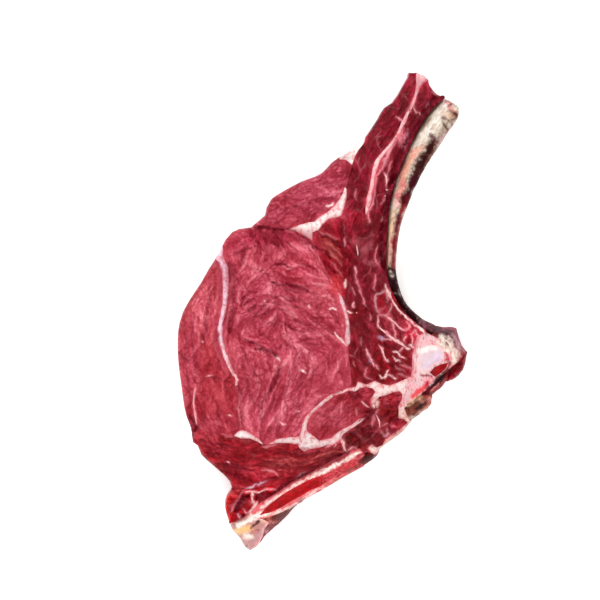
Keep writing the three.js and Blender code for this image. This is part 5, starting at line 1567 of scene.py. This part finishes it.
class STEAK_OT_cut_bones(bpy.types.Operator):
    """Build the sawn bones, their marrow and the gristle"""
    bl_idname = "steak.cut_bones"
    bl_label = "Cut bones"

    def execute(self, context):
        for tissue, finish in (("sawn_bone", "cut_bone"), ("dried_bone", "dry_bone"),
                               ("red_marrow", "marrow"), ("gristle", "gristle")):
            build_finish(tissue, [finish])
        return {"FINISHED"}


class STEAK_OT_rib(bpy.types.Operator):
    """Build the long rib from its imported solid"""
    bl_idname = "steak.rib"
    bl_label = "Rib"

    def execute(self, context):
        build_rib()
        return {"FINISHED"}


RIB_VOXEL = 0.6  # mesh size of the rib, millimetres
RIB_SMOOTHING = 14  # rounds of smoothing after the remesh
RIB_COLOUR = "#cbbba9"
RIB_MIDDLE = 18.0  # heights of the bar's middle and top
RIB_TOP = 33.0
RIB_CORNER = 7.0  # power of the squarer section that the meat's side gets
RIB_ROUND = 2.6  # and of the rounder one that it has
MEAT_SIDE = 1.0  # side of the middle line on which the meat lies
RIB_BIN = 3.0  # length of rib over which its width is measured
WORN_END = 9.0  # length of the rough sawn end
RIB_LINE = [
    84.5, 136.5, 81, 131.5, 71.5, 118.5, 61.5, 101.5, 53.5, 84.5, 49, 71, 46, 57,
    44.5, 42.5, 44, 28.5, 46, 17.5, 51, 6, 57.5, -2, 65, -8, 72.5, -12]


def build_rib():
    """Rib bone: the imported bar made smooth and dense, with hollows and stains."""
    source = frame["nodes"]["rib_bone"]
    merged = bmesh.new()
    merged.from_mesh(source.data)
    bmesh.ops.remove_doubles(merged, verts=merged.verts, dist=1e-6)
    bmesh.ops.recalc_face_normals(merged, faces=merged.faces)
    rough = bpy.data.meshes.new("rib_rough")
    merged.to_mesh(rough)
    merged.free()
    carrier = new_object("rib_rough", rough)
    remesh = carrier.modifiers.new("remesh", "REMESH")
    remesh.mode = "VOXEL"
    remesh.voxel_size = RIB_VOXEL * MM
    smooth = carrier.modifiers.new("smooth", "SMOOTH")
    smooth.iterations = RIB_SMOOTHING
    smooth.factor = 0.5
    dense = evaluated_mesh(carrier)
    split = bmesh.new()
    split.from_mesh(dense)
    bmesh.ops.triangulate(split, faces=split.faces)
    split.to_mesh(dense)
    split.free()
    points = read_out(dense.vertices, "co", 3).astype(float) / MM
    normals = read_out(dense.vertices, "normal", 3).astype(float)
    faces = read_out(dense.loops, "vertex_index", 1, np.int32).reshape(-1, 3)
    middle = smooth_line(RIB_LINE, 2.0)
    distance, along, side = nearest_on_line(points[:, :2], middle)
    points = filled_out(points, middle, distance, along, side)
    across = distance * side
    x, y, z = points.T
    lumps = 0.5 * noise(along, z + across * 1.5, 9, 51)
    lumps += 0.2 * noise(along * 0.4, z + across, 3, 52)
    lumps += np.clip(1 - along / WORN_END, 0, 1) * (0.9 * noise(x, y + z, 3.0, 53))
    points += normals * lumps[:, None]
    zone = np.zeros(len(points))
    column = Column(points, faces, points[:, :2], zone, zone, zone, zone.astype(bool))
    spec = Piece("dry_bone", RIB_COLOUR, 0, 0, 0, 0, "rib")
    colour, fat, crease, _ = painted(column, spec, *neighbour_distances("rib_bone", column.plan))
    layers = {
        "paint": colour, "fat": fat, "crease": crease,
        "flow": np.column_stack([along, across, z])}
    mesh = finished_mesh("rib_bone_look", points, faces, layers, column.sharp)
    add_piece("rib_bone_look", mesh, tissue_material("scraped_rib_bone"), "rib_bone")


def filled_out(points, middle, distance, along, side):
    """Rib points pushed towards the meat above half height, so that no valley shows."""
    bins = (along / RIB_BIN).astype(int)
    widest = np.zeros(bins.max() + 1)
    np.maximum.at(widest, bins, distance)
    corner = np.interp(along, (np.arange(len(widest)) + 0.5) * RIB_BIN, widest)
    height = np.clip((points[:, 2] - RIB_MIDDLE) / (RIB_TOP - RIB_MIDDLE), 0, 1)
    share = np.clip(distance / np.maximum(corner, 1e-6), 0, 1)
    # length of this direction's radius in a squarer section over that in the round one
    radius = (share ** RIB_CORNER + height ** RIB_CORNER) ** (1 / RIB_CORNER)
    round_radius = (share ** RIB_ROUND + height ** RIB_ROUND) ** (1 / RIB_ROUND)
    above = (side == MEAT_SIDE) & (height > 0)
    stretch = np.where(above, round_radius / np.maximum(radius, 1e-6), 1)
    foot = places_on(middle, along)
    moved = points.copy()
    moved[:, :2] = foot + (points[:, :2] - foot) * stretch[:, None]
    return moved


class STEAK_OT_strings(bpy.types.Operator):
    """Lay strings of fat and silver skin on the cut face"""
    bl_idname = "steak.strings"
    bl_label = "Strings"

    def execute(self, context):
        carrier = bpy.data.meshes.new("fat_strings")
        points, edges, widths = [], [], []
        for width, line in each_line(STRINGS):
            curve = evenly_spaced(smooth_line(line), STRING_STEP, closed=False)
            first = len(points)
            points += [(x, y, cut_height(x, y) - STRING_SUNK * width) for x, y in curve]
            edges += [(first + i, first + i + 1) for i in range(len(curve) - 1)]
            widths += [width / 2 * MM] * len(curve)
        carrier.from_pydata(np.array(points) * MM, edges, [])
        add_layer(carrier, "half_width", np.array(widths))
        grow("fat_strings", carrier, string_tree(tissue_material("string_fat")), {
            "Step": context.scene.steak_sizes.string_step,
            "Stray": context.scene.steak_sizes.string_stray, "Sides": STRING_SIDES})
        return {"FINISHED"}


class STEAK_OT_crumbs(bpy.types.Operator):
    """Scatter the small crumbs of fat that lie on the cut face"""
    bl_idname = "steak.crumbs"
    bl_label = "Crumbs"

    def execute(self, context):
        carrier = bpy.data.meshes.new("fat_crumbs")
        points = [(x, y, cut_height(x, y)) for x, y in CRUMBS]
        carrier.from_pydata(np.array(points) * MM, [], [])
        size = context.scene.steak_sizes.crumb_length
        grow("fat_crumbs", carrier, crumb_tree(tissue_material("string_fat")), {
            "Smallest": tuple(share * size for share in CRUMB_LEAST),
            "Largest": tuple(share * size for share in CRUMB_MOST), "Seed": CRUMB_SEED})
        return {"FINISHED"}


# ---- stage ----

PHOTO_WIDTH_MM = 390.0  # width that the picture spans at the cut face
AIM = (-14.8, 7.8)  # point of the cut face at the picture's centre
CUT_HEIGHT = 35.0
CAMERA_DISTANCE = 2000.0
SENSOR = 36.0
CLIP_END = 20.0
FLOOR_REACH = 3.0
FLOOR_GLOW = 0.35  # lightens the shadow round the steak
WORLD_GLOW = 0.35
# soft lights all round at half height, so that the flat cut face mirrors none of them
# into the camera: name, place and size in metres, power in watts
LIGHTS = (
    ("key", (-0.9, 1.0, 1.2), 0.9, 18.0),
    ("right", (1.2, 0.5, 1.2), 1.1, 13.0),
    ("front", (0.4, -1.3, 1.2), 1.1, 13.0),
    ("left", (-1.3, -0.5, 1.2), 1.1, 9.0),
    ("glint", (-0.35, 0.75, 1.7), 0.25, 5.0),
)


class STEAK_OT_stage(bpy.types.Operator):
    """Lay the floor, hang the lights and set the camera straight above"""
    bl_idname = "steak.stage"
    bl_label = "Stage"

    def execute(self, context):
        scene = context.scene
        scene.view_settings.view_transform = "Standard"
        floor_mesh = bpy.data.meshes.new("floor")
        corners = ((-1, -1), (1, -1), (1, 1), (-1, 1))
        floor_mesh.from_pydata(
            [(x * FLOOR_REACH, y * FLOOR_REACH, 0) for x, y in corners], [], [(0, 1, 2, 3)])
        floor = new_object("floor", floor_mesh)
        material, node = new_material("matt_white_board")
        shader = node("ShaderNodeBsdfPrincipled", {
            "Base Color": (*scene.steak_colours.floor, 1), "Roughness": 0.8,
            "Emission Color": (1, 1, 1, 1), "Emission Strength": FLOOR_GLOW})
        node("ShaderNodeOutputMaterial", {"Surface": shader})
        floor_mesh.materials.append(material)
        world = bpy.data.worlds.new("studio")
        world.use_nodes = True
        sky = world.node_tree.nodes["Background"].inputs
        sky["Color"].default_value = (1, 1, 1, 1)
        sky["Strength"].default_value = WORLD_GLOW
        scene.world = world
        for name, place, size, power in LIGHTS:
            add_light(name, place, size, power)
        lens = bpy.data.cameras.new("overhead")
        lens.sensor_width = SENSOR
        lens.lens = SENSOR * CAMERA_DISTANCE / PHOTO_WIDTH_MM
        lens.clip_end = CLIP_END
        camera = new_object("overhead", lens)
        camera.location = [part * MM for part in (*AIM, CUT_HEIGHT + CAMERA_DISTANCE)]
        scene.camera = camera
        return {"FINISHED"}


def add_light(name, place, size, power):
    """Soft square light that faces the steak."""
    lamp = bpy.data.lights.new(name, "AREA")
    lamp.size = size
    lamp.energy = power
    lamp_object = new_object(name, lamp)
    lamp_object.location = place
    lamp_object.rotation_euler = (-Vector(place)).to_track_quat("-Z", "Y").to_euler()


# ---- panel and running ----

class STEAK_PT_panel(bpy.types.Panel):
    """Lists the steps that build the steak"""
    bl_idname = "STEAK_PT_panel"
    bl_label = "Rib steak"
    bl_space_type = "VIEW_3D"
    bl_region_type = "UI"
    bl_category = "Rib steak"

    def draw(self, context):
        for group in (context.scene.steak_colours, context.scene.steak_sizes):
            for name in group.__annotations__:
                self.layout.prop(group, name)
        for step in STEPS:
            self.layout.operator(step.bl_idname)


STEPS = (STEAK_OT_muscles, STEAK_OT_fat, STEAK_OT_cut_bones, STEAK_OT_rib,
         STEAK_OT_strings, STEAK_OT_crumbs, STEAK_OT_stage)
CLASSES = (SteakColours, SteakSizes, *STEPS, STEAK_PT_panel)


def register():
    for each in CLASSES:
        bpy.utils.register_class(each)
    bpy.types.Scene.steak_colours = bpy.props.PointerProperty(type=SteakColours)
    bpy.types.Scene.steak_sizes = bpy.props.PointerProperty(type=SteakSizes)


def unregister():
    del bpy.types.Scene.steak_sizes
    del bpy.types.Scene.steak_colours
    for each in reversed(CLASSES):
        bpy.utils.unregister_class(each)


def main():
    register()
    bpy.ops.steak.muscles()
    bpy.ops.steak.fat()
    bpy.ops.steak.cut_bones()
    bpy.ops.steak.rib()
    bpy.ops.steak.strings()
    bpy.ops.steak.crumbs()
    bpy.ops.steak.stage()


if __name__ == "__main__":
    main()
